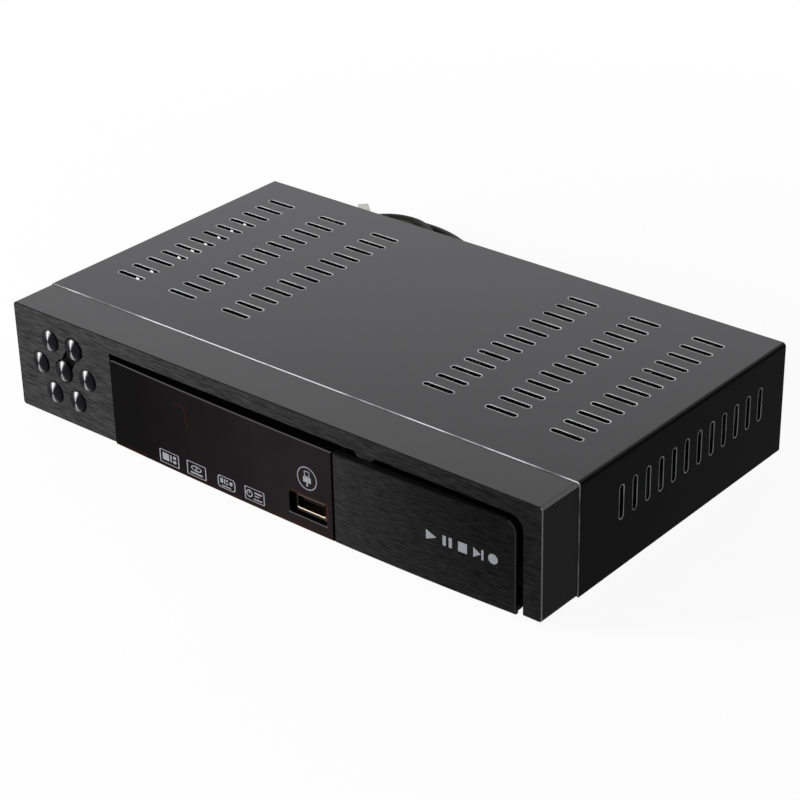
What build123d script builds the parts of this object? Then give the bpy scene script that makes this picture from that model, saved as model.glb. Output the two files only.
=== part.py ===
"""Satellite television receiver: a folded steel case with a moulded front, a bowed smoked
window, a flap over the card reader, seven front keys, and its boards, sockets and mains lead.

Frame: millimetres, +Z up, -Y the front, +X to the right of someone facing the front.
The origin is on the table, under the middle of the case's box (mains lead left out).
"""
from build123d import *
from math import cos, pi, radians, sin, sqrt, tan
import os

# ---------------------------------------------------------------- driving dimensions
# case
case_w = 260.0            # over the cover's sides
case_d = 152.0            # front face of the moulding to the back of the cover
case_h = 45.8             # underside of the tray to the top of the cover
foot_h = 3.0
foot_r = 6.5
foot_inset_x = 22.0
foot_inset_front = 30.0
foot_inset_back = 20.0
sheet_t = 0.8             # steel sheet
bend_r = 1.6              # outside radius of the cover's bends
sheet_gap = 0.1           # between one sheet and the next

# moulded front
front_d = 20.5            # front face to the seam with the cover
front_wall = 2.2
front_edge_r = 1.4        # the four long edges
cover_proud = 0.35        # the cover stands this much outside the moulding
seam_gap = 0.3
lip_l = 4.0               # the moulding's lip inside the cover
lip_t = 1.4

# opening in the moulded front, from the left end of the window to the right end of the flap
opening_x0 = -76.3
opening_x1 = 121.7
opening_top = case_h - 6.9   # above the underside of the case
opening_r = 6.0

# window and flap: one bowed front, split in two
bow_x0 = -75.3
bow_x1 = 119.6
bow_peak_x = 45.0
bow_reach = 3.6           # furthest forward of the moulded front
bow_left = 1.1            # how far forward at the left end
bow_right = 1.5
bow_top = opening_top - 1.8
bow_bottom = 0.2
split_x = 39.4
split_gap = 0.5
window_back = 1.0         # flat back of the window, behind the front face
window_seat = 2.4         # height of the pads that carry the window
flap_t = 2.0
flap_r = 5.0
window_r = 1.6
edge_soft = 0.35          # broken edge round the window and the flap

# stop tab for the flap
tab_x = 52.0
tab_r = 5.6
tab_drop = 2.7

# flap hinge
hinge_back = 1.6          # hinge axis behind the front face
hinge_up = 3.4            # hinge axis above the underside of the case
hinge_pin_r = 0.8
ear_ahead = 0.9           # the left ear reaches this far ahead of the front face
hinge_gap = 0.05
lug_w = 3.0
lug_r = 2.2
pin_reach = 2.0           # pin in its ear
bay_d = 9.0               # front face to the card bay's back wall
bay_wall = 2.0
side_play = 0.4
table_gap = 0.6           # the flap's foot swings this far above the table
foot_clear = 0.6          # the bay's left wall starts this far up, clear of the flap's foot

# keys
key_x = -103.0            # middle key
key_z = case_h / 2
key_pitch = 13.1
key_r = 4.35
key_hole_gap = 0.3
key_rim = 0.7             # rim ahead of the front face
key_dome = 0.75           # dome above the rim
key_travel = 0.6
key_flange_r = 5.4
key_flange_t = 1.0
key_stem_r = 1.6
key_free = 0.1            # left between stem and switch at full travel
link_d = 0.8              # shallow channel that joins two keys
link_w = 6.4

# vents
slot_l = 13.5
slot_w = 2.3
slot_pitch = 8.15
slot_count = 12
slot_first = 45.0         # behind the front face
slot_columns = 3
column_pitch = 28.7
column_first = 50.5       # innermost column from the middle of the vents
vent_shift = -1.2         # middle of the top vents, to one side of the case's middle
side_slot_z = case_h - 19.05
side_slot_l = 13.3
side_slot_first = (42.7, 45.6)      # left side and right side, behind the front face
punch_edge = 0.10         # rolled edge of the punched slots

# boards
board_t = 1.6
standoff_h = 5.0
standoff_r = 2.6
screw_r = 1.5
screw_head_r = 2.75
screw_head_h = 1.9
screw_l = 6.0
drive_l = 2.8             # cross recess in the screws' heads
drive_w = 0.6
drive_d = 1.0
hole_play = 0.15
main_x0 = -42.0
main_x1 = case_w / 2 - 4.0
main_y0 = 28.0            # behind the front face
main_y1 = case_d - 3.0
psu_x0 = 5.0 - case_w / 2
psu_x1 = -48.0
psu_y0 = 46.0
psu_y1 = case_d - 8.0
front_board_y = 12.0      # front face of the upright board, behind the front face
front_board_x0 = -118.0
front_board_x1 = 38.0
front_board_z0 = 4.0
front_board_z1 = case_h - 4.8
hole_inset = 5.0

# front socket and display
usb_x = 27.2
usb_z = 9.8
usb_w = 13.1              # outside of the shell; its opening is 12.5
usb_h = 5.7
usb_shell_t = 0.3
usb_ahead = 1.6           # shell ahead of the front face
recess_w = 18.2
recess_h = 9.0
recess_r = 1.4
recess_floor = 1.2        # floor of the recess ahead of the front face
display_x = -25.0
display_z = 22.0
display_w = 50.0
display_h = 19.0
display_d = 7.5

# card reader
card_x = 79.5
card_w = 54.4
card_slot_h = 1.6
reader_w = 62.0
reader_l = 50.0
reader_h = 8.0

# rear panel sockets, each given by the middle of its opening
f_x = (92.0, 114.0)
f_r = 4.7625
f_l = 9.5
f_nut_r = 6.4
f_nut_t = 2.0
f_bore_r = 3.1
f_bore_d = 7.0
core_hole_r = 0.6
insert_back = 0.8         # insulators stop this far inside their barrels
f_up = 7.5                # axis above the main board
tuner_w = 46.0
tuner_l = 40.0
tuner_h = 14.0
tuner_edge_r = 1.0
lid_rim = 5.0
lid_press = 0.4
serial_x = 61.0
serial_w = 30.8
serial_h = 12.5
rca_x = (8.0, 21.5, 35.0)
rca_r = 4.15
rca_root_r = 4.4          # barrels' root, inside the collars
rca_bore_r = 1.6
rca_l = 9.0
rca_up = 7.0
rca_block_h = 13.0
rca_block_d = 12.0
rca_margin = 6.5
rca_wall = 0.8
ring_r = 5.4
ring_t = 1.6
hdmi_x = -10.0
hdmi_w = 15.0
hdmi_h = 5.6
hdmi_d = 12.0
hdmi_shell_t = 0.45
hdmi_cut = 1.4
hdmi_tongue_w = 10.6
hdmi_tongue_t = 1.2
tongue_back = 1.5         # tongues start this far inside their shells
net_x = -30.0
net_w = 16.0
net_h = 13.4
net_d = 18.0
net_port_w = 11.8
net_port_h = 6.6
net_port_d = 12.0
net_port_up = 3.6
latch_w = 6.4
latch_drop = 2.0
port_gap = 0.4            # panel cut-outs round the sockets
port_ahead = 0.6          # ports stand this much outside the panel

# small pieces inside
switch_stack = 4.3        # key switch with its plunger
eye_x = 12.0
eye_r = 2.5
lamp_x = 21.0
lamp_r = 1.5
tray_side = 12.0
tray_front = 6.0
floor_slot_l = 30.0
floor_slot_x = (-86.0, 40.0)
floor_slot_first = 62.0
floor_slot_count = 5
film_t = 0.3
switch_body = 6.0
plunger_out = 0.8
plunger_r = 1.7
eye_body_d = 5.0
eye_l = 7.0
lamp_collar = 1.0
usb_tongue_w = 11.0
usb_tongue_t = 1.9
usb_tongue_drop = 0.5
reader_end = 4.0
reader_window_in = 9.0
fin_t = 1.4
bite = 0.5                # cables run this far into their plugs
ribbon_x = -24.0
ribbon_z = 14.0
ribbon_plug_w = 18.0
ribbon_plug_d = 5.0
ribbon_plug_h = 7.0
ribbon_foot_y = 42.5
ribbon_out = 9.0
ribbon_rise = 11.0
ribbon_bend = 3.5
ribbon_t = 0.9
loom_x = (-55.0, -34.0)
loom_y = 71.0
loom_socket = (7.0, 15.0, 7.0)
loom_top = 17.0
loom_bend = 4.5
loom_wires = 5
loom_pitch = 2.5
wire_r = 0.75
mains_socket_at = (-66.0, case_d - 15.0)
mains_socket = (16.0, 7.0, 8.0)
chip_at = (38.0, 92.0)
chip_w = 27.0
chip_h = 1.5
chip_sink_w = 34.0
chip_sink_base = 2.0
chip_sink_h = 9.5
chip_fins = 8
memory_at = [(68, 84), (68, 100), (12, 84), (12, 100)]
memory_size = (8.0, 12.0, 1.2)
board_play = 0.2          # between pieces of one component
core_at = (-84.0, case_d - 60.0)
core_w = 26.0
core_l = 20.0
core_h = 20.0
core_wall = 4.0
core_gap_h = 9.0
core_gap_up = 5.0
rail_w = 3.4
sink_t = 3.0
sink_l = 38.0
sink_h = 24.0
sink_fins = 5
sink_pitch = 8.0
filter_w = 16.0
filter_l = 14.0
suppressor_at = (-85.0, case_d - 20.0)
suppressor = (18.0, 8.0, 14.0)
clip_w = 4.0
clip_l = 7.0
sink_at = (-59.0, case_d - 38.5)   # places on the boards are x, and y behind the front face
filter_at = (-108.0, case_d - 24.0)
fuse_at = (-94.0, case_d - 36.5)
fuse_l = 20.0
fuse_r = 2.6
fuse_up = 4.2
bulk_at = (psu_x0 + 10.0, 71.5)
bulk_r = 6.5
bulk_h = 30.0
board_cans = [(37, 66, 5, 26), (60, 72, 4, 14), (100, 88, 5, 18), (-20, 66, 4, 14), (0, 70, 5, 20),
              (18, 64, 4, 14)]
board_coils = [(main_x1 - 16, 76, 14), (-22, 86, 7), (88, 90, 7)]
board_coil_w = 10.0
board_coil_r = 1.5
supply_cans = [(-108, case_d - 48, 5, 24), (-66, 74, 5, 22), (-66, 86, 4, 18), (-72, 62, 4, 16)]

# serial socket
shell_w = 17.0
shell_h = 8.4
jack_pitch = 25.0
jack_r = 2.0              # room for the posts' shanks in the panel
jack_hole_r = 1.5
jack_hex_r = 3.1
jack_l = 5.0
jack_shank = 5.0
jack_bore_r = 1.2
jack_bore_d = 4.5
serial_d = 11.0
nose_l = 6.5
d_slope = 1.25
d_corner_r = 1.6
pin_pitch = 2.77
pin_rows = 2.84
pin_bore_r = 0.55
pin_bore_d = 5.0

# mains switch
switch_x = -98.0
switch_z = case_h - 19.8
switch_w = 13.0
switch_h = 19.0
switch_rim = 1.8
switch_depth = 14.0
switch_brim = 1.2
rocker_w = 8.4
rocker_r = 8.6
rocker_tilt = 9.0         # half of the rocker's throw, degrees
rocker_pin_r = 1.0
rocker_in = 1.5           # rocker's axis inside the rear panel's face
rocker_pins = 11.4        # over the ends of the rocker's pins
rocker_back = 2.0
rocker_tip = 4.6

# mains lead
cord_d = 5.5
gland_x = -62.0
gland_z = 15.0
gland_l = 24.0
gland_r = 5.6
gland_tip_r = 3.7
gland_inside = 5.0
gland_flange = 2.0         # thickness, and how far it stands out all round
coil_x = -108.0
coil_back = 41.5          # coil's middle behind the case
coil_turns = 4            # turns in the lower layer
coil_outer = 37.0         # centreline of the outermost turn
coil_lift = 0.8           # thickness of the tie under the coil
tie_w = 5.0
tie_t = 0.7
tie_angle = 138.0
plug_w = 35.0
plug_h = 13.7
plug_l = 36.0
plug_pin_r = 2.0
plug_pin_l = 19.0
plug_pin_pitch = 19.0
plug_x = -34.0            # cord end of the plug
plug_back = 23.5          # plug's middle behind the case
plug_grip_l = 18.0        # full-width part, at the pins' end
plug_edge_r = 3.5
plug_waist = (13.0, 10.0)
plug_waist_x = 5.0        # from the plug's cord end
plug_neck_l = 6.0
plug_neck_walls = (0.9, 1.8)
plug_pin_tip = 1.4

# ---------------------------------------------------------------- frame of reference
front_y = -(case_d - sheet_t + f_l + f_nut_t - bow_reach) / 2
seam_y = front_y + front_d
back_y = front_y + case_d
panel_y = back_y - sheet_t                       # outer face of the rear panel
base_z = foot_h
top_z = base_z + case_h
tray_top = base_z + sheet_t
board_z = tray_top + standoff_h                  # underside of the boards
deck_z = board_z + board_t                       # top of the boards
half_w = case_w / 2
inner_half = half_w - sheet_t - sheet_gap        # what fits inside the cover
mould_half = half_w - cover_proud
mould_top = top_z - cover_proud
hinge_y = front_y + hinge_back
hinge_z = base_z + hinge_up
rocker_y = panel_y - rocker_in
socket_y = panel_y - sheet_t - sheet_gap          # sockets stop at the panel's inner face

parts = {}


# ---------------------------------------------------------------- helpers
def block(x0, x1, y0, y1, z0, z1):
    return Pos((x0 + x1) / 2, (y0 + y1) / 2, (z0 + z1) / 2) * Box(x1 - x0, y1 - y0, z1 - z0)


def rod_x(x0, x1, y, z, radius):
    return Pos((x0 + x1) / 2, y, z) * Rot(0, 90, 0) * Cylinder(radius, x1 - x0)


def rod_y(x, y0, y1, z, radius):
    return Pos(x, (y0 + y1) / 2, z) * Rot(-90, 0, 0) * Cylinder(radius, y1 - y0)


def rod_z(x, y, z0, z1, radius):
    return Pos(x, y, (z0 + z1) / 2) * Cylinder(radius, z1 - z0)


def cone_y(x, z, y0, y1, r0, r1):
    return Pos(x, (y0 + y1) / 2, z) * Rot(-90, 0, 0) * Cone(r0, r1, y1 - y0)


def soft_block(x0, x1, y0, y1, z0, z1, radius, axis):
    solid = block(x0, x1, y0, y1, z0, z1)
    return fillet(solid.edges().filter_by(axis), radius)


def pan_screw(x, y, z):
    """Pan-head screw with its head on z, shank below it."""
    top = z + screw_head_h
    head = rod_z(x, y, z, top, screw_head_r)
    head = fillet(head.edges().group_by(Axis.Z)[-1], screw_head_h * 0.4)
    drive = block(x - drive_l / 2, x + drive_l / 2, y - drive_w / 2, y + drive_w / 2, top - drive_d, top)
    cross = block(x - drive_w / 2, x + drive_w / 2, y - drive_l / 2, y + drive_l / 2, top - drive_d, top)
    return head - drive - cross + rod_z(x, y, z - screw_l, z, screw_r - hole_play / 2)


# ---------------------------------------------------------------- the bowed front
def bow_at(x):
    """How far ahead of the moulded front the window and flap stand at x."""
    left = x < bow_peak_x
    run = bow_peak_x - bow_x0 if left else bow_x1 - bow_peak_x
    drop = bow_reach - (bow_left if left else bow_right)
    radius = (run**2 + drop**2) / (2 * drop)
    return bow_reach - radius + sqrt(radius**2 - (x - bow_peak_x) ** 2)


def bowed_solid(back, shift=0.0):
    """Upright solid behind the two arcs of the bow, moved back by shift, with a flat back."""
    peak = (bow_peak_x, front_y - bow_reach + shift)
    left = (bow_x0, front_y - bow_left + shift)
    right = (bow_x1, front_y - bow_right + shift)
    arcs = TangentArc(peak, left, tangent=(-1, 0)) + TangentArc(peak, right, tangent=(1, 0))
    sides = Polyline(left, (bow_x0, back), (bow_x1, back), right)
    return Pos(0, 0, base_z - 1) * extrude(make_face(arcs + sides), case_h)


def bow_outline(x0, x1, radius, side):
    """Front view of one half of the bow: a plate with its outer top corner rounded."""
    plate = block(x0, x1, front_y - 2 * bow_reach, front_y + bay_d, base_z + bow_bottom,
                  base_z + bow_top)
    top = plate.edges().filter_by(Axis.Y).group_by(Axis.Z)[-1].sort_by(Axis.X)
    return fillet(top[-1] if side > 0 else top[0], radius)


def soften_front(solid, limit_y, amount):
    """Break the edges round the bowed face, which lies ahead of limit_y."""
    faces = [f for f in solid.faces() if f.center().Y < limit_y and f.geom_type == GeomType.CYLINDER
             and abs(f.normal_at(None).Y) > 0.9]
    rim = {}
    for face in faces:
        for edge in face.edges():
            key = tuple(round(v, 3) for v in edge.center())
            rim.setdefault(key, []).append(edge)
    return chamfer([group[0] for group in rim.values() if len(group) == 1], amount)


def display_window():
    """Smoked acrylic: bowed in front, flat behind, cut through for the front socket."""
    solid = bowed_solid(front_y + window_back) & bow_outline(bow_x0, split_x, window_r, -1)
    solid = soften_front(solid, front_y, edge_soft)
    hole = soft_block(usb_x - recess_w / 2, usb_x + recess_w / 2, front_y - 2 * bow_reach,
                      front_y + bay_d, base_z + usb_z - recess_h / 2, base_z + usb_z + recess_h / 2,
                      recess_r, Axis.Y)
    return solid - hole


def flap_door():
    """Bowed flap with a rim on its free edges, two lugs behind its foot, and their pins."""
    x0 = split_x + split_gap
    shell = bowed_solid(front_y + bay_d) - bowed_solid(front_y + bay_d + 1, flap_t)
    outline = bow_outline(x0, bow_x1, flap_r, 1)
    solid = soften_front(shell & outline, front_y + flap_t, edge_soft)
    inner = bow_outline(x0 - 1, bow_x1 - flap_t, flap_r - flap_t, 1)
    swing = rod_x(x0 - 1, bow_x1 + 1, hinge_y, hinge_z, hinge_z - table_gap)
    solid -= block(x0 - 1, bow_x1 + 1, front_y - 2 * bow_reach, hinge_y, base_z, hinge_z) - swing
    rim_back = front_y - side_play
    rim = (bowed_solid(rim_back, flap_t / 2) & outline) - Pos(0, 0, -flap_t) * inner
    solid += rim - block(x0 - 1, bow_x1 + 1, front_y - bow_reach, rim_back + 1,
                         base_z, base_z + bow_top - flap_t - 1)
    for lug_x0, lug_x1, pin_x0, pin_x1 in (
        (bay_x0 + side_play, bay_x0 + side_play + lug_w, bay_x0 - pin_reach, bay_x0 + side_play),
        (bow_x1 - lug_w, bow_x1, bow_x1, opening_x1 + pin_reach),
    ):
        lug_front = front_y - bow_at((lug_x0 + lug_x1) / 2) + flap_t / 2
        solid += block(lug_x0, lug_x1, lug_front, hinge_y, hinge_z - lug_r, hinge_z + lug_r)
        solid += rod_x(lug_x0, lug_x1, hinge_y, hinge_z, lug_r)
        solid += rod_x(pin_x0, pin_x1, hinge_y, hinge_z, hinge_pin_r)
    return solid


# ---------------------------------------------------------------- moulded front
bay_x0 = split_x + split_gap + side_play + bay_wall   # inner face of the card bay's left wall
flap_sweep = hinge_back + bow_reach + 2 * side_play   # the flap's foot swings back this far
seat_y = front_y + window_back + window_seat     # carrier wall behind the window
slot_z = deck_z + reader_h / 2                   # the card's own level
boss_high = front_board_z1 - 4.0
boss_places = [(-81.0, 8.0), (-81.0, boss_high), (7.0, 7.0), (33.0, boss_high)]
key_places = {
    "key_power": (-0.5, 1),
    "key_up": (0.5, 1),
    "key_left": (-1, 0),
    "key_ok": (0, 0),
    "key_right": (1, 0),
    "key_down": (-0.5, -1),
    "key_menu": (0.5, -1),
}


def key_centre(name):
    column, row = key_places[name]
    return key_x + column * key_pitch, base_z + key_z + row * key_pitch * sqrt(3) / 2


def key_link():
    """Shallow channel between the middle key and the one up and to its right."""
    (x0, z0), (x1, z1) = key_centre("key_ok"), key_centre("key_up")
    turn = -60.0
    bar = Box(sqrt((x1 - x0) ** 2 + (z1 - z0) ** 2), 2 * link_d, link_w)
    channel = Pos((x0 + x1) / 2, front_y, (z0 + z1) / 2) * Rot(0, turn, 0) * bar
    for x, z in ((x0, z0), (x1, z1)):
        channel += rod_y(x, front_y - link_d, front_y + link_d, z, key_r + 2 * key_hole_gap)
    return channel


def front_moulding():
    x = mould_half
    body = block(-x, x, front_y, seam_y, base_z, mould_top)
    body = fillet(body.edges().filter_by(Axis.Y), front_edge_r)
    body = chamfer(body.faces().sort_by(Axis.Y)[0].edges(), edge_soft)
    body -= block(-x + front_wall, x - front_wall, front_y + front_wall, seam_y + 1,
                  base_z + front_wall, mould_top - front_wall)
    lip_x = inner_half - sheet_gap
    lip_z0 = tray_top + sheet_gap
    lip_z1 = top_z - sheet_t - sheet_gap
    lip = block(-lip_x, lip_x, seam_y - lip_l / 2, seam_y + lip_l, lip_z0, lip_z1)
    lip = fillet(lip.edges().filter_by(Axis.Y).group_by(Axis.Z)[-1], bend_r)
    lip -= block(-lip_x + lip_t, lip_x - lip_t, seam_y - lip_l, seam_y + 2 * lip_l,
                 lip_z0 + lip_t, lip_z1 - lip_t)
    body += lip

    # the opening, with its one large corner, and the cut in the skirt for the flap's foot
    opening = block(opening_x0, opening_x1, front_y - 1, front_y + front_wall + 0.01,
                    base_z - 1, base_z + opening_top)
    top = opening.edges().filter_by(Axis.Y).group_by(Axis.Z)[-1].sort_by(Axis.X)
    opening = fillet(top[-1], opening_r)
    body -= opening
    body -= block(split_x, opening_x1, front_y - 1, front_y + flap_sweep, base_z - 1,
                  base_z + front_wall + 0.01)
    body -= block(opening_x0, split_x + 0.01, front_y - 1, front_y + window_back, base_z - 1,
                  base_z + front_wall + 0.01)

    # walls round the card bay and behind the window
    bay_back = front_y + bay_d
    top_z0 = base_z + opening_top
    left = block(bay_x0 - bay_wall, bay_x0, front_y + window_back, bay_back + bay_wall,
                 base_z + foot_clear, top_z0 + bay_wall)
    right = block(opening_x1, opening_x1 + bay_wall, front_y + front_wall / 2, bay_back + bay_wall,
                  base_z + front_wall / 2, top_z0 + bay_wall)
    roof = block(opening_x0 - bay_wall, opening_x1 + bay_wall, front_y + front_wall / 2,
                 bay_back + bay_wall, top_z0, top_z0 + bay_wall)
    roof -= block(opening_x0 - 2 * bay_wall, bay_x0 - bay_wall, seat_y + bay_wall,
                  bay_back + 2 * bay_wall, top_z0 - 1, top_z0 + 2 * bay_wall)
    back = block(bay_x0 - bay_wall, opening_x1 + bay_wall, bay_back, bay_back + bay_wall, base_z,
                 top_z0 + bay_wall)
    end = block(opening_x0 - bay_wall, opening_x0, front_y + front_wall / 2, seat_y + bay_wall,
                base_z + front_wall / 2, top_z0 + bay_wall)
    carrier = block(opening_x0 - bay_wall, bay_x0, seat_y, seat_y + bay_wall, base_z + front_wall / 2,
                    top_z0 + bay_wall)
    ear = rod_x(bay_x0 - bay_wall, bay_x0, front_y + hinge_back, hinge_z, hinge_back + ear_ahead)
    body += [left, right, roof, back, end, carrier, ear]
    foot_y = front_y + window_back
    body += block(opening_x0, split_x, foot_y, seat_y + bay_wall, base_z, base_z + front_wall)

    # raised seat for the window, all round its edge
    seat_inset = 2.0
    seat = block(bow_x0 + seat_inset, split_x, foot_y, seat_y + 0.5, base_z + front_wall / 2,
                 base_z + bow_top - seat_inset)
    seat -= block(bow_x0 + 2 * seat_inset, split_x - seat_inset, foot_y - 1, seat_y + 1,
                  base_z + front_wall / 2 - 1, base_z + bow_top - 2 * seat_inset)
    body += seat

    # block that fills the window's cut-out round the front socket
    play = key_hole_gap
    body += soft_block(usb_x - recess_w / 2 + play, usb_x + recess_w / 2 - play, front_y - recess_floor,
                       seat_y + 0.5, base_z + usb_z - recess_h / 2 + play,
                       base_z + usb_z + recess_h / 2 - play, recess_r - play, Axis.Y)
    body -= block(usb_x - usb_w / 2 - sheet_gap, usb_x + usb_w / 2 + sheet_gap, front_y - bow_reach,
                  seat_y + 2 * bay_wall, base_z + usb_z - usb_h / 2 - sheet_gap,
                  base_z + usb_z + usb_h / 2 + sheet_gap)

    # holes for the display, the remote eye, the lamp and the keys
    frame_gap = 0.5
    body -= block(display_x - display_w / 2 - frame_gap, display_x + display_w / 2 + frame_gap,
                  seat_y - 1, seat_y + 2 * bay_wall, base_z + display_z - display_h / 2 - frame_gap,
                  base_z + display_z + display_h / 2 + frame_gap)
    body -= rod_y(eye_x, seat_y - 1, seat_y + 2 * bay_wall, base_z + display_z, eye_r + frame_gap)
    body -= rod_y(lamp_x, seat_y - 1, seat_y + 2 * bay_wall, base_z + display_z, lamp_r + frame_gap)
    body -= key_link()
    for name in key_places:
        kx, kz = key_centre(name)
        body -= rod_y(kx, front_y - 1, front_y + 2 * front_wall, kz, key_r + key_hole_gap)

    # card slot in the bay's back wall, with a flared mouth
    body -= block(card_x - card_w / 2, card_x + card_w / 2, bay_back - 1, bay_back + 2 * bay_wall,
                  slot_z - card_slot_h / 2, slot_z + card_slot_h / 2)
    mouth = Pos(card_x, bay_back, slot_z) * Rot(-90, 0, 0) * Rectangle(card_w + 2, card_slot_h + 2)
    body -= extrude(mouth, 1.0, dir=(0, 1, 0), taper=40)

    # flap pins' holes, stop tab, and bosses for the upright board
    body -= rod_x(bay_x0 - bay_wall - 1, opening_x1 + bay_wall + 1, hinge_y, hinge_z,
                  hinge_pin_r + hinge_gap)
    tab = rod_y(tab_x, front_y, front_y + front_wall / 2, base_z + opening_top - tab_drop + tab_r, tab_r)
    body += tab & block(tab_x - tab_r, tab_x + tab_r, front_y, front_y + front_wall,
                        base_z + opening_top - tab_drop, base_z + opening_top + 1)
    for bx, bz in boss_places:
        start = front_y + front_wall / 2 if bx < opening_x0 else seat_y + bay_wall / 2
        body += rod_y(bx, start, front_y + front_board_y, base_z + bz, standoff_r)
        body -= rod_y(bx, front_y + front_board_y - screw_l - 1, front_y + front_board_y + 1,
                      base_z + bz, screw_r)
    return body


def key(name):
    """Domed key with a flange behind the front wall and a stem to its switch."""
    x, z = key_centre(name)
    rim_y = front_y - key_rim
    flange_y = front_y + front_wall + sheet_gap
    stem_y = front_y + front_board_y - switch_stack - key_travel - key_free
    shoulder = (key_r * 0.52, rim_y - key_dome * 0.74)
    dome = ThreePointArc((0, rim_y - key_dome), shoulder, (key_r - edge_soft, rim_y))
    side = Polyline((key_r - edge_soft, rim_y), (key_r, rim_y + edge_soft), (key_r, flange_y),
                    (key_flange_r, flange_y),
                    (key_flange_r, flange_y + key_flange_t), (key_stem_r, flange_y + key_flange_t),
                    (key_stem_r, stem_y), (0, stem_y), (0, rim_y - key_dome))
    return Pos(x, 0, z) * revolve(make_face(dome + side), Axis.Y)


# ---------------------------------------------------------------- steel cover and tray
ear_x = (-100.0, 0.0, 100.0)
ear_w = 14.0
ear_drop = 9.0
ear_screw_z = top_z - 5.2


def slot_cutter(length, width, depth):
    """Rounded slot lying along X in the XY plane, cut downwards from z = 0, with a rolled edge."""
    through = Pos(0, 0, 1) * extrude(SlotOverall(length, width), -depth - 1)
    rolled = extrude(SlotOverall(length + 2 * punch_edge, width + 2 * punch_edge), -punch_edge, taper=44)
    return through + rolled


def steel_cover():
    x = half_w
    y0 = seam_y + seam_gap
    shell = block(-x, x, y0, back_y, base_z, top_z)
    shell = fillet(shell.edges().filter_by(Axis.Y).group_by(Axis.Z)[-1], bend_r)
    inside = block(-x + sheet_t, x - sheet_t, y0 - 1, back_y + 1, base_z - 1, top_z - sheet_t)
    inside = fillet(inside.edges().filter_by(Axis.Y).group_by(Axis.Z)[-1], bend_r - sheet_t)
    shell -= inside
    for ex in ear_x:
        shell += block(ex - ear_w / 2, ex + ear_w / 2, panel_y, back_y, top_z - ear_drop,
                       top_z - sheet_t / 2)
        shell -= rod_y(ex, panel_y - 1, back_y + 1, ear_screw_z, screw_r + hole_play)
    top_slot = slot_cutter(slot_l, slot_w, 2 * sheet_t)
    side_slot = slot_cutter(side_slot_l, slot_w, 2 * sheet_t)
    cuts = []
    for k in range(slot_count):
        y = front_y + slot_first + k * slot_pitch
        for column in range(slot_columns):
            for side in (-1, 1):
                column_x = vent_shift + side * (column_first + column * column_pitch)
                cuts.append(Pos(column_x, y, top_z) * top_slot)
        for side, first in zip((-1, 1), side_slot_first):
            side_y = front_y + first + k * slot_pitch
            cuts.append(Pos(side * x, side_y, base_z + side_slot_z) * Rot(0, side * 90, 0) * side_slot)
    return shell - cuts


def panel_cuts():
    """Cut-outs in the rear panel, one for each socket."""
    y0, y1 = panel_y - 2 * sheet_t, panel_y + 1
    g = port_gap
    cuts = [rod_y(x, y0, y1, deck_z + f_up, f_r + g) for x in f_x]
    cuts += [rod_y(x, y0, y1, deck_z + rca_up, rca_root_r + g) for x in rca_x]
    cuts.append(rod_y(gland_x, y0, y1, base_z + gland_z, gland_r + g))
    for x, z0, w, h in (
        (serial_x, deck_z + (serial_h - shell_h) / 2, shell_w, shell_h),
        (hdmi_x, deck_z, hdmi_w, hdmi_h),
        (net_x, deck_z, net_w, net_h),
        (switch_x, base_z + switch_z - switch_h / 2, switch_w, switch_h),
    ):
        cuts.append(block(x - w / 2 - g, x + w / 2 + g, y0, y1, z0 - g, z0 + h + g))
    for side in (-1, 1):
        cuts.append(rod_y(serial_x + side * jack_pitch / 2, y0, y1, deck_z + serial_h / 2, jack_r + g))
    for ex in ear_x:
        cuts.append(rod_y(ex, y0, y1, ear_screw_z, screw_r + hole_play / 2))
    return cuts


def steel_tray():
    x = inner_half
    y0 = seam_y + seam_gap
    tray = block(-x, x, y0, panel_y, base_z, tray_top)
    panel = block(-x, x, panel_y - sheet_t, panel_y, base_z, top_z - sheet_t - sheet_gap)
    tray += chamfer(panel.edges().filter_by(Axis.Y).group_by(Axis.Z)[-1], bend_r)
    for side in (-1, 1):
        tray += block(min(side * x, side * (x - sheet_t)), max(side * x, side * (x - sheet_t)),
                      seam_y + lip_l + sheet_gap, panel_y, base_z, base_z + tray_side)
    tray += block(-x, x, seam_y + lip_l + sheet_gap, seam_y + lip_l + sheet_gap + sheet_t, base_z,
                  base_z + tray_front)
    vent = Pos(0, 0, 1) * extrude(SlotOverall(floor_slot_l, slot_w), -2 * sheet_t - 2)
    cuts = [Pos(x, front_y + floor_slot_first + k * 2 * slot_pitch, tray_top) * vent
            for x in floor_slot_x for k in range(floor_slot_count)]
    return tray - cuts - panel_cuts()


def feet():
    places = [(sx * (half_w - foot_inset_x), y) for sx in (-1, 1)
              for y in (front_y + foot_inset_front, back_y - foot_inset_back)]
    foot = Pos(0, 0, foot_h / 2) * Cone(foot_r - edge_soft, foot_r, foot_h)
    return [Pos(x, y, 0) * foot for x, y in places]


def cover_screws():
    screw = Rot(-90, 0, 0) * pan_screw(0, 0, 0)
    return [Pos(ex, back_y, ear_screw_z) * screw for ex in ear_x]


# ---------------------------------------------------------------- boards and what holds them
main_holes = [
    (main_x0 + hole_inset, main_y0 + hole_inset),
    (main_x1 - hole_inset, main_y0 + hole_inset),
    (main_x0 + hole_inset, main_y1 - 31.0),
    (main_x1 - hole_inset, main_y1 - 51.0),
]
psu_holes = [(x, y) for x in (psu_x0 + hole_inset, psu_x1 - hole_inset)
             for y in (psu_y0 + hole_inset, psu_y1 - hole_inset)]


def board(x0, x1, y0, y1, holes):
    plate = block(x0, x1, front_y + y0, front_y + y1, board_z, deck_z)
    return plate - [rod_z(x, front_y + y, board_z - 1, deck_z + 1, screw_r + hole_play)
                    for x, y in holes]


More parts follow.
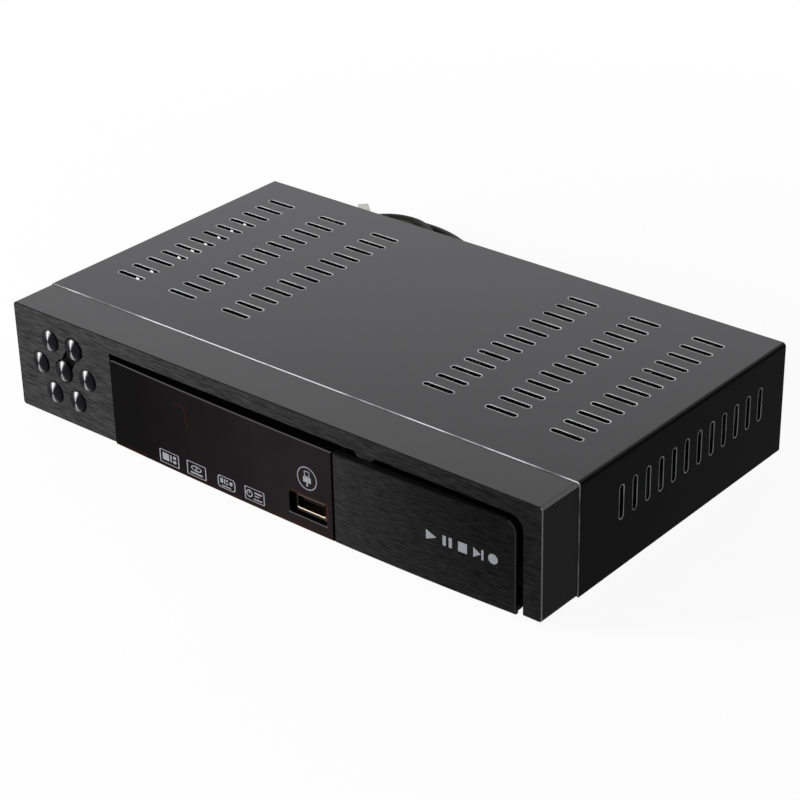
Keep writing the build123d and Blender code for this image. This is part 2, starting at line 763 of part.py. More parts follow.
def front_board():
    y0 = front_y + front_board_y
    plate = block(front_board_x0, front_board_x1, y0, y0 + board_t, base_z + front_board_z0,
                  base_z + front_board_z1)
    return plate - [rod_y(x, y0 - 1, y0 + board_t + 1, base_z + z, screw_r + hole_play) for x,
                    z in boss_places]


def standoffs():
    post = rod_z(0, 0, tray_top, board_z, standoff_r) - rod_z(0, 0, tray_top - 1, board_z + 1, screw_r)
    return [Pos(x, front_y + y, 0) * post for x, y in main_holes + psu_holes]


def board_screws():
    flat = [Pos(x, front_y + y, deck_z) * pan_screw(0, 0, 0) for x, y in main_holes + psu_holes]
    upright = Rot(-90, 0, 0) * pan_screw(0, 0, 0)
    back = front_y + front_board_y + board_t
    return flat + [Pos(x, back, base_z + z) * upright for x, z in boss_places]


def on_deck(x, y, w, d, h, lift=0.0):
    """Box standing on the boards' top, centred on x and y behind the front face."""
    return block(x - w / 2, x + w / 2, front_y + y - d / 2, front_y + y + d / 2, deck_z + lift,
                 deck_z + lift + h)


def can_on_deck(x, y, radius, h):
    """Capacitor: a can with a rolled shoulder, standing on the boards' top."""
    can = rod_z(x, front_y + y, deck_z, deck_z + h, radius)
    return fillet(can.edges().group_by(Axis.Z)[-1], radius * 0.12)


def tact_switches():
    y1 = front_y + front_board_y
    half = switch_body / 2
    out = []
    for name in key_places:
        x, z = key_centre(name)
        body = block(x - half, x + half, y1 - switch_stack + plunger_out, y1, z - half, z + half)
        out.append(body + rod_y(x, y1 - switch_stack, y1 - plunger_out, z, plunger_r))
    return out


def digit_display():
    y1 = front_y + front_board_y
    z = base_z + display_z
    body = block(display_x - display_w / 2, display_x + display_w / 2, y1 - display_d, y1,
                 z - display_h / 2, z + display_h / 2)
    return chamfer(body.faces().sort_by(Axis.Y)[0].edges(), edge_soft)


def remote_eye():
    y1 = front_y + front_board_y
    z = base_z + display_z
    half = eye_r + hole_play
    body = block(eye_x - half, eye_x + half, y1 - eye_body_d, y1, z - half, z + half)
    return body + rod_y(eye_x, y1 - eye_l, y1 - 1, z, eye_r)


def power_lamp():
    y1 = front_y + front_board_y
    z = base_z + display_z
    collar = rod_y(lamp_x, y1 - lamp_collar, y1, z, lamp_r + lamp_collar / 2)
    return rod_y(lamp_x, y1 - eye_l, y1, z, lamp_r) + collar


def front_socket():
    """Upright-mounted socket: a folded shell with its contact tongue."""
    y0, y1 = front_y - usb_ahead, front_y + front_board_y
    z = base_z + usb_z
    t = usb_shell_t
    floor_y = y1 - 2 * t
    shell = block(usb_x - usb_w / 2, usb_x + usb_w / 2, y0, y1, z - usb_h / 2, z + usb_h / 2)
    shell -= block(usb_x - usb_w / 2 + t, usb_x + usb_w / 2 - t, y0 - 1, floor_y, z - usb_h / 2 + t,
                   z + usb_h / 2 - t)
    tongue_z = z + usb_h / 2 - t - usb_tongue_drop
    tongue = block(usb_x - usb_tongue_w / 2, usb_x + usb_tongue_w / 2, y0 + tongue_back, floor_y,
                   tongue_z - usb_tongue_t, tongue_z)
    return [shell, tongue]


def card_reader():
    """Card cage on the main board, with its slot level with the bay's and an open top."""
    y0 = front_y + bay_d + bay_wall + side_play
    body = block(card_x - reader_w / 2, card_x + reader_w / 2, y0, y0 + reader_l, deck_z,
                 deck_z + reader_h)
    half = card_w / 2
    channel = block(card_x - half, card_x + half, y0 - 1, y0 + reader_l - reader_end,
                    slot_z - card_slot_h / 2, slot_z + card_slot_h / 2)
    half = half - reader_window_in
    window = block(card_x - half, card_x + half, y0 + reader_window_in, y0 + reader_l / 2, slot_z,
                   deck_z + reader_h + 1)
    return body - channel - window


def strip(points, radii, thick, x0, x1):
    """Flat cable: a line in the YZ plane with rounded corners, as wide as x0 to x1."""
    line = FilletPolyline(*[(y, z) for y, z in points], radius=radii)
    band = trace(line, thick)
    solid = extrude(band, x1 - x0)
    return Pos(x0, 0, 0) * Rot(0, 0, 90) * Rot(90, 0, 0) * solid


def ribbon_cable():
    """Flat cable from the upright board down to the main board, with a plug on each end."""
    y0 = front_y + front_board_y + board_t
    z = base_z + ribbon_z
    x0, x1 = ribbon_x - ribbon_plug_w / 2, ribbon_x + ribbon_plug_w / 2
    foot_y = front_y + ribbon_foot_y
    head = block(x0, x1, y0, y0 + ribbon_plug_d, z - ribbon_plug_d / 2, z + ribbon_plug_d / 2)
    foot = block(x0, x1, foot_y - ribbon_plug_d / 2, foot_y + ribbon_plug_d / 2, deck_z,
                 deck_z + ribbon_plug_h)
    out_y = y0 + ribbon_plug_d + ribbon_out
    path = [(y0 + ribbon_plug_d - bite, z), (out_y, z), (out_y, z + ribbon_rise),
            (foot_y, z + ribbon_rise), (foot_y, deck_z + ribbon_plug_h - bite)]
    return head + foot + strip(path, ribbon_bend, ribbon_t, x0 + 2, x1 - 2)


def power_loom():
    """Wires from the supply board to the main board, arched from one socket to the other."""
    x0, x1 = loom_x
    low, high = deck_z + loom_socket[2], deck_z + loom_top
    wires = []
    for k in range(loom_wires):
        y = front_y + loom_y + (k - (loom_wires - 1) / 2) * loom_pitch
        line = FilletPolyline((x0, y, low), (x0, y, high), (x1, y, high), (x1, y, low), radius=loom_bend)
        wires.append(sweep(Plane(origin=line @ 0, z_dir=line % 0) * Circle(wire_r), path=line))
    return wires


def loom_sockets():
    sockets = [on_deck(x, loom_y, *loom_socket) for x in loom_x]
    return sockets + [on_deck(*mains_socket_at, *mains_socket)]


def processor_sink():
    """Finned aluminium block stuck on the processor."""
    x, y = chip_at
    base = on_deck(x, y, chip_sink_w, chip_sink_w, chip_sink_base, chip_h)
    pitch = (chip_sink_w - fin_t) / (chip_fins - 1)
    first = x - (chip_sink_w - fin_t) / 2
    return base + [on_deck(first + k * pitch, y, fin_t, chip_sink_w, chip_sink_h,
                           chip_h + chip_sink_base) for k in range(chip_fins)]


def supply_transformer():
    """Ferrite frame round a taped coil, standing on two pin rails."""
    x, y = core_at
    core = on_deck(x, y, core_w, core_l, core_h)
    core -= on_deck(x, y, core_w - 2 * core_wall, 2 * core_l, core_gap_h, core_gap_up)
    coil = on_deck(x, y, core_w - 2 * core_wall - board_play, core_l + 2 * rail_w,
                   core_gap_h - board_play, core_gap_up + board_play / 2)
    rail_y = (core_l + rail_w) / 2 + board_play / 2
    rails = [on_deck(x, y + side * rail_y, core_w - 2 * rail_w, rail_w, core_gap_up) for side in (-1, 1)]
    return core + coil + rails


def supply_sink():
    """Upright finned plate that cools the supply's transistor."""
    x, y = sink_at
    plate = on_deck(x, y, sink_t, sink_l, sink_h)
    first = y - (sink_fins - 1) / 2 * sink_pitch
    return plate + [on_deck(x + sink_t, first + k * sink_pitch, 2 * sink_t, fin_t, sink_h)
                    for k in range(sink_fins)]


def line_filter():
    """Mains choke on its frame, and the suppressor beside it."""
    x, y = filter_at
    frame = on_deck(x, y, filter_w, filter_l, filter_w)
    return [frame - on_deck(x, y, filter_w / 2, 2 * filter_l, filter_w / 2, filter_w / 4),
            on_deck(*suppressor_at, *suppressor)]


def mains_fuse():
    """Glass fuse resting in two clips."""
    x, y = fuse_at
    tube = rod_x(x - fuse_l / 2, x + fuse_l / 2, front_y + y, deck_z + fuse_up, fuse_r)
    clips = [on_deck(x + side * (fuse_l - clip_w) / 2, y, clip_w, clip_l, fuse_up) - tube
             for side in (-1, 1)]
    return [tube] + clips


def insulation_sheet():
    """Thin plastic sheet on the tray's floor under the supply board."""
    sheet = block(psu_x0, psu_x1, front_y + psu_y0, front_y + psu_y1, tray_top, tray_top + film_t)
    hole_r = standoff_r + hole_play
    return sheet - [rod_z(x, front_y + y, tray_top - 1, tray_top + 1, hole_r) for x, y in psu_holes]


# ---------------------------------------------------------------- rear sockets
def tuner_can():
    """Screening can round the tuner, with a pressed panel in its lid."""
    x = (f_x[0] + f_x[1]) / 2
    x0, x1, y0 = x - tuner_w / 2, x + tuner_w / 2, socket_y - tuner_l
    can = soft_block(x0, x1, y0, socket_y, deck_z, deck_z + tuner_h, tuner_edge_r, Axis.Z)
    return can - block(x0 + lid_rim, x1 - lid_rim, y0 + lid_rim, socket_y - lid_rim,
                       deck_z + tuner_h - lid_press, deck_z + tuner_h + 1)


def f_connectors():
    """Threaded barrels with a hexagonal nut against the rear panel."""
    y1 = panel_y + f_nut_t
    z = deck_z + f_up
    out = []
    for x in f_x:
        barrel = rod_y(x, socket_y, y1 + f_l, z, f_r)
        nut = Pos(x, panel_y, z) * Rot(-90, 0, 0) * extrude(RegularPolygon(f_nut_r, 6), f_nut_t)
        out.append(barrel + nut - rod_y(x, y1 + f_l - f_bore_d, y1 + f_l + 1, z, f_bore_r))
    return out


def f_inserts():
    """White insulators in the barrels, each with a hole for the cable's core."""
    y1 = panel_y + f_nut_t + f_l
    z = deck_z + f_up
    return [rod_y(x, y1 - f_bore_d, y1 - insert_back, z, f_bore_r - hinge_gap)
            - rod_y(x, y1 - f_bore_d / 2, y1, z, core_hole_r) for x in f_x]


def d_outline(w, h):
    flat = Polyline((-w / 2, h / 2), (w / 2, h / 2), (w / 2 - d_slope, -h / 2),
                    (-w / 2 + d_slope, -h / 2), close=True)
    face = make_face(flat)
    return fillet(face.vertices(), d_corner_r)


def serial_socket():
    """Nine-way socket: a block on the board with a D-shaped nose through the panel."""
    z = deck_z + serial_h / 2
    body = block(serial_x - serial_w / 2, serial_x + serial_w / 2, socket_y - serial_d, socket_y,
                 deck_z, deck_z + serial_h)
    nose = extrude(d_outline(shell_w, shell_h), -nose_l)
    nose = Pos(serial_x, socket_y - hole_play, z) * Rot(90, 0, 0) * nose
    solid = body + nose
    for row, count in ((pin_rows / 2, 5), (-pin_rows / 2, 4)):
        for k in range(count):
            x = serial_x + (k - (count - 1) / 2) * pin_pitch
            solid -= rod_y(x, socket_y + nose_l - pin_bore_d, socket_y + nose_l + 1, z + row, pin_bore_r)
    for side in (-1, 1):
        solid -= rod_y(serial_x + side * jack_pitch / 2, socket_y - jack_shank - 1, socket_y + 1, z,
                       jack_hole_r)
    return solid


def jack_posts():
    """Hexagonal posts beside the serial socket, each tapped for the plug's screw."""
    z = deck_z + serial_h / 2
    out = []
    for side in (-1, 1):
        x = serial_x + side * jack_pitch / 2
        post = Pos(x, panel_y, z) * Rot(-90, 0, 0) * extrude(RegularPolygon(jack_hex_r, 6), jack_l)
        shank = rod_y(x, socket_y - jack_shank, panel_y, z, jack_hole_r - hinge_gap)
        out.append(post + shank - rod_y(x, panel_y + jack_l - jack_bore_d, panel_y + jack_l + 1, z,
                                        jack_bore_r))
    return out


def rca_block():
    x0, x1 = rca_x[0] - rca_margin, rca_x[-1] + rca_margin
    return block(x0, x1, socket_y - rca_block_d, socket_y, deck_z, deck_z + rca_block_h)


def rca_barrels():
    y1 = panel_y + rca_l
    z = deck_z + rca_up
    root_y = panel_y + ring_t
    return [rod_y(x, socket_y, root_y, z, rca_root_r) + rod_y(x, root_y, y1, z, rca_r)
            - rod_y(x, socket_y - 1, y1 + 1, z, rca_r - rca_wall) for x in rca_x]


def rca_colour(x):
    """Coloured collar on the panel and the insulating core of one jack."""
    y1 = panel_y + rca_l
    z = deck_z + rca_up
    collar = rod_y(x, panel_y, panel_y + ring_t, z, ring_r)
    collar -= rod_y(x, panel_y - 1, panel_y + ring_t + 1, z, rca_root_r + hinge_gap)
    core = rod_y(x, socket_y, y1 - insert_back, z, rca_r - rca_wall - hinge_gap)
    return [collar, core - rod_y(x, socket_y + 1, y1 + 1, z, rca_bore_r)]


def hdmi_socket():
    """Folded shell with both lower corners cut off, and its contact tongue."""
    x0, x1, y1 = hdmi_x - hdmi_w / 2, hdmi_x + hdmi_w / 2, panel_y + port_ahead
    y0 = y1 - hdmi_d
    z0, z1, t = deck_z, deck_z + hdmi_h, hdmi_shell_t
    outer = block(x0, x1, y0, y1, z0, z1)
    outer = chamfer(outer.edges().filter_by(Axis.Y).group_by(Axis.Z)[0], hdmi_cut)
    inner = block(x0 + t, x1 - t, y0 + 1, y1 + 1, z0 + t, z1 - t)
    inner = chamfer(inner.edges().filter_by(Axis.Y).group_by(Axis.Z)[0], hdmi_cut - t / 2)
    middle = (z0 + z1) / 2
    tongue = block(hdmi_x - hdmi_tongue_w / 2, hdmi_x + hdmi_tongue_w / 2, y0 + 1, y1 - tongue_back,
                   middle, middle + hdmi_tongue_t)
    return [outer - inner, tongue]


def network_socket():
    """Network socket with its square port and the step below it for the plug's latch."""
    y1 = panel_y + port_ahead
    body = block(net_x - net_w / 2, net_x + net_w / 2, y1 - net_d, y1, deck_z, deck_z + net_h)
    port_z = deck_z + net_port_up
    port = block(net_x - net_port_w / 2, net_x + net_port_w / 2, y1 - net_port_d, y1 + 1, port_z,
                 port_z + net_port_h)
    latch = block(net_x - latch_w / 2, net_x + latch_w / 2, y1 - net_port_d, y1 + 1,
                  port_z - latch_drop, port_z + 1)
    return body - port - latch


def switch_frame():
    """Snap-in frame of the mains switch, with the rocker's well and pin holes."""
    z = base_z + switch_z
    w, h = switch_w / 2, switch_h / 2
    body = block(switch_x - w, switch_x + w, panel_y - switch_depth, panel_y, z - h, z + h)
    w, h = w + switch_brim, h + switch_brim
    rim = soft_block(switch_x - w, switch_x + w, panel_y, panel_y + switch_rim, z - h, z + h,
                     switch_brim, Axis.Y)
    w, h = rocker_w / 2 + key_hole_gap, rocker_r + key_hole_gap
    well = block(switch_x - w, switch_x + w, rocker_y - h, panel_y + 2 * switch_rim, z - h, z + h)
    holes = rod_x(switch_x - rocker_pins / 2 - sheet_gap, switch_x + rocker_pins / 2 + sheet_gap,
                  rocker_y, z, rocker_pin_r + hinge_gap)
    return body + rim - well - holes


def switch_rocker():
    """Rocker on its pins, tipped to one end of its throw."""
    z = base_z + switch_z
    disc = rod_x(switch_x - rocker_w / 2, switch_x + rocker_w / 2, rocker_y, z, rocker_r)
    end_z = rocker_r + 1
    vee = Polyline((rocker_y - rocker_back, -rocker_r / 3), (rocker_y - rocker_back, rocker_r / 3),
                   (rocker_y, end_z), (rocker_y + rocker_tip, end_z), (rocker_y + rocker_tip / 2, 0),
                   (rocker_y + rocker_tip, -end_z), (rocker_y, -end_z), close=True)
    wedge = Pos(switch_x - rocker_w, 0, z) * Rot(90, 0, 0) * Rot(0, 90, 0) * extrude(make_face(vee),
                                                                                     2 * rocker_w)
    pins = rod_x(switch_x - rocker_pins / 2, switch_x + rocker_pins / 2, rocker_y, z, rocker_pin_r)
    pivot = Axis((switch_x, rocker_y, z), (1, 0, 0))
    return ((disc & wedge) + pins).rotate(pivot, -rocker_tilt)


# ---------------------------------------------------------------- mains lead
coil_y = back_y + coil_back
coil_low = coil_lift + cord_d / 2
coil_high = coil_low + cord_d * sqrt(3) / 2
gland_tip = back_y + gland_l
plug_y = back_y + plug_back


def cord_gland():
    z = base_z + gland_z
    inside = rod_y(gland_x, panel_y - gland_inside, panel_y, z, gland_r)
    collar = rod_y(gland_x, panel_y, panel_y + gland_flange, z, gland_r + gland_flange)
    cone_start = panel_y + 0.75 * gland_flange
    return inside + collar + cone_y(gland_x, z, cone_start, gland_tip, gland_r, gland_tip_r)


# the lead's free stretches, in the order they are walked from the case to the plug
lead_in = [
    (gland_x, gland_tip, base_z + gland_z),
    (gland_x, gland_tip + 14, base_z + gland_z),
    (gland_x - 4, gland_tip + 30, base_z + gland_z - 6.5),
    (gland_x - 14.5, gland_tip + 44, coil_low + 2),
    (gland_x - 30, gland_tip + 52.8, coil_low + 0.1),
    (coil_x, coil_y + coil_outer, coil_low),
]
lead_out = [
    (coil_x + 2, coil_y - 28.9, coil_high),
    (coil_x + 17, coil_y - 28.6, coil_high - 0.7),
    (coil_x + 33, coil_y - 26, 5.0),
    (coil_x + 46, coil_y - 21, 4.4),
    (plug_x - 14, plug_y, plug_h / 2),
    (plug_x, plug_y, plug_h / 2),
]


def tube_along(points):
    """Straight runs joined by arcs as large as the runs allow."""
    corners = [Vector(*p) for p in points]
    radii = []
    for a, b, c in zip(corners, corners[1:], corners[2:]):
        turn = (b - a).get_angle(c - b)
        radii.append(0.45 * min((b - a).length, (c - b).length) / tan(radians(turn / 2)))
    line = FilletPolyline(*points, radius=radii)
    tube = sweep(Plane(origin=line @ 0, z_dir=line % 0) * Circle(cord_d / 2), path=line)
    expected = line.length * pi * cord_d**2 / 4
    print("lead radii", [round(r, 1) for r in radii], "length", round(line.length, 1),
          "volume over section times length", round(tube.volume / expected, 4))
    return tube


def mains_coil():
    """Outer shape of the wound part: a wide lower layer and a narrower one in its grooves."""
    r = cord_d / 2
    inner = coil_outer - (coil_turns - 1) * cord_d
    up_outer = coil_outer - 1.5 * cord_d
    up_inner = inner + cord_d / 2
    outline = [(inner - r, coil_lift), (coil_outer + r, coil_lift), (coil_outer + r, coil_low + r / 2),
               (coil_outer + r / 2, coil_low + r), (up_outer + r, coil_low + r + 0.6),
               (up_outer + r / 2, coil_high + r), (up_inner - r / 2, coil_high + r),
               (inner - r, coil_low + r)]
    face = make_face(Polyline(*[(a, 0, b) for a, b in outline], close=True))
    return Pos(coil_x, coil_y, 0) * revolve(face, Axis.Z)


def coil_tie():
    r = cord_d / 2
    inner = coil_outer - (coil_turns - 1) * cord_d - r - 0.4
    outer = coil_outer + r + 0.1
    top = coil_high + r + 0.1
    loop = block(inner - tie_t, outer + tie_t, -tie_w / 2, tie_w / 2, coil_lift - tie_t, top + tie_t)
    loop -= block(inner, outer, -tie_w, tie_w, coil_lift, top)
    return Pos(coil_x, coil_y, 0) * Rot(0, 0, tie_angle) * loop


def plug_body():
    y = plug_y
    z = plug_h / 2
    x1 = plug_x + plug_l
    grip_x = x1 - plug_grip_l
    wide = soft_block(grip_x, x1, y - plug_w / 2, y + plug_w / 2, 0, plug_h, plug_edge_r, Axis.X)
    sections = []
    for x, size in ((grip_x, (plug_w, plug_h)), (plug_x + plug_waist_x, plug_waist)):
        across = Plane(origin=(x, y, z), x_dir=(0, 1, 0), z_dir=(-1, 0, 0))
        sections.append(across * RectangleRounded(*size, plug_edge_r))
    thin, thick = (cord_d / 2 + wall for wall in plug_neck_walls)
    neck = Pos(plug_x + plug_neck_l / 2, y, z) * Rot(0, 90, 0) * Cone(thin, thick, plug_neck_l)
    return wide + loft(sections) + neck


def plug_pins():
    y = plug_y
    x1 = plug_x + plug_l
    pins = []
    for side in (-1, 1):
        pin = rod_x(x1, x1 + plug_pin_l, y + side * plug_pin_pitch / 2, plug_h / 2, plug_pin_r)
        pins.append(fillet(pin.edges().sort_by(Axis.X)[-1], plug_pin_tip))
    return pins


# ---------------------------------------------------------------- nodes
def build():
    parts["front_moulding"] = front_moulding()
    parts["display_window"] = display_window()
    parts["flap_door"] = flap_door()
    for name in key_places:
        parts[name] = key(name)
    parts["steel_cover"] = steel_cover()
    parts["steel_tray"] = steel_tray()
    parts["rubber_feet"] = feet()
    parts["cover_screws"] = cover_screws()
    parts["standoffs"] = standoffs()
    parts["board_screws"] = board_screws()
    parts["main_board"] = board(main_x0, main_x1, main_y0, main_y1, main_holes)
    parts["supply_board"] = board(psu_x0, psu_x1, psu_y0, psu_y1, psu_holes)
    parts["front_board"] = front_board()
    parts["key_switches"] = tact_switches()
    parts["digit_display"] = digit_display()
    parts["remote_eye"] = remote_eye()
    parts["power_lamp"] = power_lamp()
    parts["front_socket"] = front_socket()
    parts["card_reader"] = card_reader()
    parts["ribbon_cable"] = ribbon_cable()
    parts["power_loom"] = power_loom()
    parts["loom_sockets"] = loom_sockets()
    parts["processor"] = on_deck(*chip_at, chip_w, chip_w, chip_h)
    parts["processor_sink"] = processor_sink()
    parts["memory_chips"] = [on_deck(*place, *memory_size) for place in memory_at]
    parts["board_capacitors"] = [can_on_deck(x, y, r, h) for x, y, r, h in board_cans]
    half = board_coil_w / 2
    parts["board_coils"] = [soft_block(x - half, x + half, front_y + y - half, front_y + y + half,
                                       deck_z, deck_z + h, board_coil_r, Axis.Z)
                            for x, y, h in board_coils]
    parts["tuner_can"] = tuner_can()
    parts["f_connectors"] = f_connectors()
    parts["f_inserts"] = f_inserts()
    parts["serial_socket"] = serial_socket()
    parts["jack_posts"] = jack_posts()
    parts["rca_block"] = rca_block()
    parts["rca_barrels"] = rca_barrels()
    for name, x in zip(("rca_yellow", "rca_white", "rca_red"), rca_x):
        parts[name] = rca_colour(x)
    parts["hdmi_socket"] = hdmi_socket()
    parts["network_socket"] = network_socket()
    parts["switch_frame"] = switch_frame()
    parts["switch_rocker"] = switch_rocker()
    parts["supply_transformer"] = supply_transformer()
    parts["supply_sink"] = supply_sink()
    parts["line_filter"] = line_filter()
    parts["bulk_capacitor"] = can_on_deck(*bulk_at, bulk_r, bulk_h)
    parts["supply_capacitors"] = [can_on_deck(x, y, r, h) for x, y, r, h in supply_cans]
    parts["mains_fuse"] = mains_fuse()
    parts["insulation_sheet"] = insulation_sheet()
    parts["cord_gland"] = cord_gland()
    parts["mains_lead"] = [tube_along(lead_in), tube_along(lead_out)]
    parts["mains_coil"] = mains_coil()
    parts["coil_tie"] = coil_tie()
    parts["plug_body"] = plug_body()
    parts["plug_pins"] = plug_pins()


build()
os.makedirs("parts", exist_ok=True)
for node, shape in parts.items():
    solids = shape if isinstance(shape, list) else [shape]
    whole = Compound(children=[s for shape_ in solids for s in shape_.solids()])
    export_step(whole, f"parts/{node}.step")
print(len(parts), "nodes")
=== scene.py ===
"""Satellite television receiver: a satin black steel case with a brushed black front, seven domed
keys, a bowed smoked window, a flap over the card slot, and its mains lead coiled behind it.
Metres, +Z up, -Y the front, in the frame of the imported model."""

from math import cos, pi, radians, sin

import bmesh
import bpy
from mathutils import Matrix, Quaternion, Vector


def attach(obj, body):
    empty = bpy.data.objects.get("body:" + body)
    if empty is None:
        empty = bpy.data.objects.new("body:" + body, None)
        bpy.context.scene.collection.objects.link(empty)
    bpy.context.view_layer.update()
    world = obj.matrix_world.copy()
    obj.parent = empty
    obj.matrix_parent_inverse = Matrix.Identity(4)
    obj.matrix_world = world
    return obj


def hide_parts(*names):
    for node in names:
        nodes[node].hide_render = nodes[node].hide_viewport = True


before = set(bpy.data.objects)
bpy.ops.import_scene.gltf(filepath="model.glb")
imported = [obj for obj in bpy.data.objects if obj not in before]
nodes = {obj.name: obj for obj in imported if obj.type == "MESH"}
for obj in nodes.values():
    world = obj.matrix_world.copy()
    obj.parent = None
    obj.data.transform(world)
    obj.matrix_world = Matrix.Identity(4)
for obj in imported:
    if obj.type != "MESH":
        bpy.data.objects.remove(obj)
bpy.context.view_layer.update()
scene = bpy.context.scene
MM = 0.001

# ---------------------------------------------------------------- camera
# A long lens looks down on the front right corner, turned a little clockwise. The Standard view
# shows a colour as it is written.
lens_mm = 103.94
eye = Vector((0.51718, -0.60831, 0.44051))
azimuth, elevation, roll = radians(40.286), radians(28.172), radians(-1.283)
forward = Vector((-sin(azimuth) * cos(elevation), cos(azimuth) * cos(elevation), -sin(elevation)))
camera_data = bpy.data.cameras.new("camera")
camera_data.lens = lens_mm
camera_data.sensor_width = 36.0
camera_data.clip_start, camera_data.clip_end = 0.05, 50.0
camera = bpy.data.objects.new("camera", camera_data)
scene.collection.objects.link(camera)
camera.rotation_mode = "QUATERNION"
camera.location = eye
camera.rotation_quaternion = forward.to_track_quat("-Z", "Y") @ Quaternion((0, 0, 1), roll)
scene.camera = camera
scene.view_settings.view_transform = "Standard"


# ---------------------------------------------------------------- mains lead
# A round black PVC lead, 5.5 mm thick. It leaves the tapered gland straight back, drops to the
# table, is wound into a tied coil of five and a half turns in two layers, and ends in a flat
# two-pin plug.
def shader_group(name, inputs, outputs):
    """An empty shader group, with sockets given by name and kind, and its input and output nodes."""
    tree = bpy.data.node_groups.new(name, "ShaderNodeTree")
    for side, sockets in (("INPUT", inputs), ("OUTPUT", outputs)):
        for socket, kind in sockets.items():
            tree.interface.new_socket(name=socket, in_out=side, socket_type="NodeSocket" + kind)
    return tree, tree.nodes.new("NodeGroupInput"), tree.nodes.new("NodeGroupOutput")


def calculator(tree):
    """A function that adds a Math node on numbers or outputs to the tree and returns its output."""
    def math(operation, *values):
        node = tree.nodes.new("ShaderNodeMath")
        node.operation = operation
        for socket, value in zip(node.inputs, values):
            if isinstance(value, (int, float)):
                socket.default_value = value
            else:
                tree.links.new(value, socket)
        return node.outputs[0]

    return math


def grain_group():
    """Grain of a surface: noise that varies its colour and roughness and lifts it a little."""
    tree, given, out = shader_group(
        "surface_grain",
        {"Color": "Color", "Shade": "Float", "Roughness": "Float", "Rough Range": "Float",
         "Stretch": "Vector", "Depth": "Float"},
        {"Color": "Color", "Roughness": "Float", "Normal": "Vector"})
    new, link, math = tree.nodes.new, tree.links.new, calculator(tree)
    where, stretch = new("ShaderNodeTexCoord"), new("ShaderNodeVectorMath")
    stretch.operation = "MULTIPLY"
    link(where.outputs["Object"], stretch.inputs[0])
    link(given.outputs["Stretch"], stretch.inputs[1])
    noise = new("ShaderNodeTexNoise")
    link(stretch.outputs[0], noise.inputs["Vector"])
    noise.inputs["Scale"].default_value = 1.0
    noise.inputs["Detail"].default_value = 3.0
    centred = math("SUBTRACT", noise.outputs["Fac"], 0.5)
    gain = new("ShaderNodeVectorMath")
    gain.operation = "SCALE"
    link(given.outputs["Color"], gain.inputs[0])
    link(math("MULTIPLY_ADD", centred, given.outputs["Shade"], 1.0), gain.inputs["Scale"])
    link(gain.outputs[0], out.inputs["Color"])
    rough = math("MULTIPLY_ADD", centred, given.outputs["Rough Range"], given.outputs["Roughness"])
    rough.node.use_clamp = True
    link(rough, out.inputs["Roughness"])
    bump = new("ShaderNodeBump")
    link(noise.outputs["Fac"], bump.inputs["Height"])
    link(given.outputs["Depth"], bump.inputs["Distance"])
    link(bump.outputs[0], out.inputs["Normal"])
    return tree


def material_from(name, group, values):
    """A material whose colour, roughness and normal come from a group that is given these values."""
    material = bpy.data.materials.new(name)
    material.use_nodes = True
    tree = material.node_tree
    shader = tree.nodes["Principled BSDF"]
    look = tree.nodes.new("ShaderNodeGroup")
    look.node_tree = group
    for socket, value in values.items():
        look.inputs[socket].default_value = value
    for made, fed in (("Color", "Base Color"), ("Roughness", "Roughness"), ("Normal", "Normal")):
        tree.links.new(look.outputs[made], shader.inputs[fed])
    return material


grain_tree = grain_group()


def finish_of(name, colour, roughness, shade=0.2, rough_range=0.15, stretch=900, depth=0.00001, **fixed):
    """A material with grain, stretch to the metre; fixed are plain values for the shader's own
    sockets, spelled with _ for spaces."""
    if isinstance(stretch, int):
        stretch = (stretch, stretch, stretch)
    material = material_from(name, grain_tree, {
        "Color": (*colour, 1), "Shade": shade, "Roughness": roughness, "Rough Range": rough_range,
        "Stretch": stretch, "Depth": depth})
    for socket, value in fixed.items():
        material.node_tree.nodes["Principled BSDF"].inputs[socket.replace("_", " ")].default_value = value
    return material


def dress(material, *names):
    """Gives the named solids one finish all over."""
    for name in names:
        nodes[name].data.materials.clear()
        nodes[name].data.materials.append(material)


cord_r = 2.75 * MM
coil_middle = Vector((-108.0, 113.95, 0.0)) * MM
low_layer, high_layer, crossing = 3.55 * MM, 8.32 * MM, 9.2 * MM
lead_in = [(-62, 96.45, 18), (-62, 110.45, 18), (-66, 126.45, 11.5), (-76.5, 140.45, 5.55),
           (-92, 149.25, 3.65)]
lead_out = [(-91, 85.35, 7.6), (-75, 87.95, 5.0), (-62, 92.95, 4.4), (-48, 95.95, 6.85),
            (-34, 95.95, 6.85)]
coil_turns, turn_points = 5.5, 16
step_points = 3                     # of each turn's points, those that step to the next turn
rise_points = 5                     # of the last low turn's points, those before the step that rise
low_rings = [36.9 * MM - 2 * cord_r * k for k in range(4)]
high_rings = [23.25 * MM, 28.75 * MM]


def coil_route():
    """Points of the coil, anticlockwise: four turns inwards, one and a half outwards on top."""
    total = int(turn_points * coil_turns)
    hold = turn_points - step_points
    points = []
    for k in range(total + 1):
        turn, place = divmod(k, turn_points)
        step = max(0.0, (place - hold) / step_points)
        if turn < len(low_rings):
            last = turn == len(low_rings) - 1
            radius = low_rings[turn]
            after = high_rings[0] if last else low_rings[turn + 1]
            rise = min(1.0, max(0.0, (place - hold + rise_points) / rise_points)) if last else 0.0
            z = low_layer + rise * (crossing - low_layer)
        else:
            radius = high_rings[turn - len(low_rings)]
            after = high_rings[-1]
            z = crossing if place >= hold - 1 or place <= 1 and k < total else high_layer
        radius += step * (after - radius)
        radius /= cos(pi / turn_points)
        angle = pi / 2 + 2 * pi * k / turn_points
        points.append(coil_middle + Vector((radius * cos(angle), radius * sin(angle), z)))
    return points


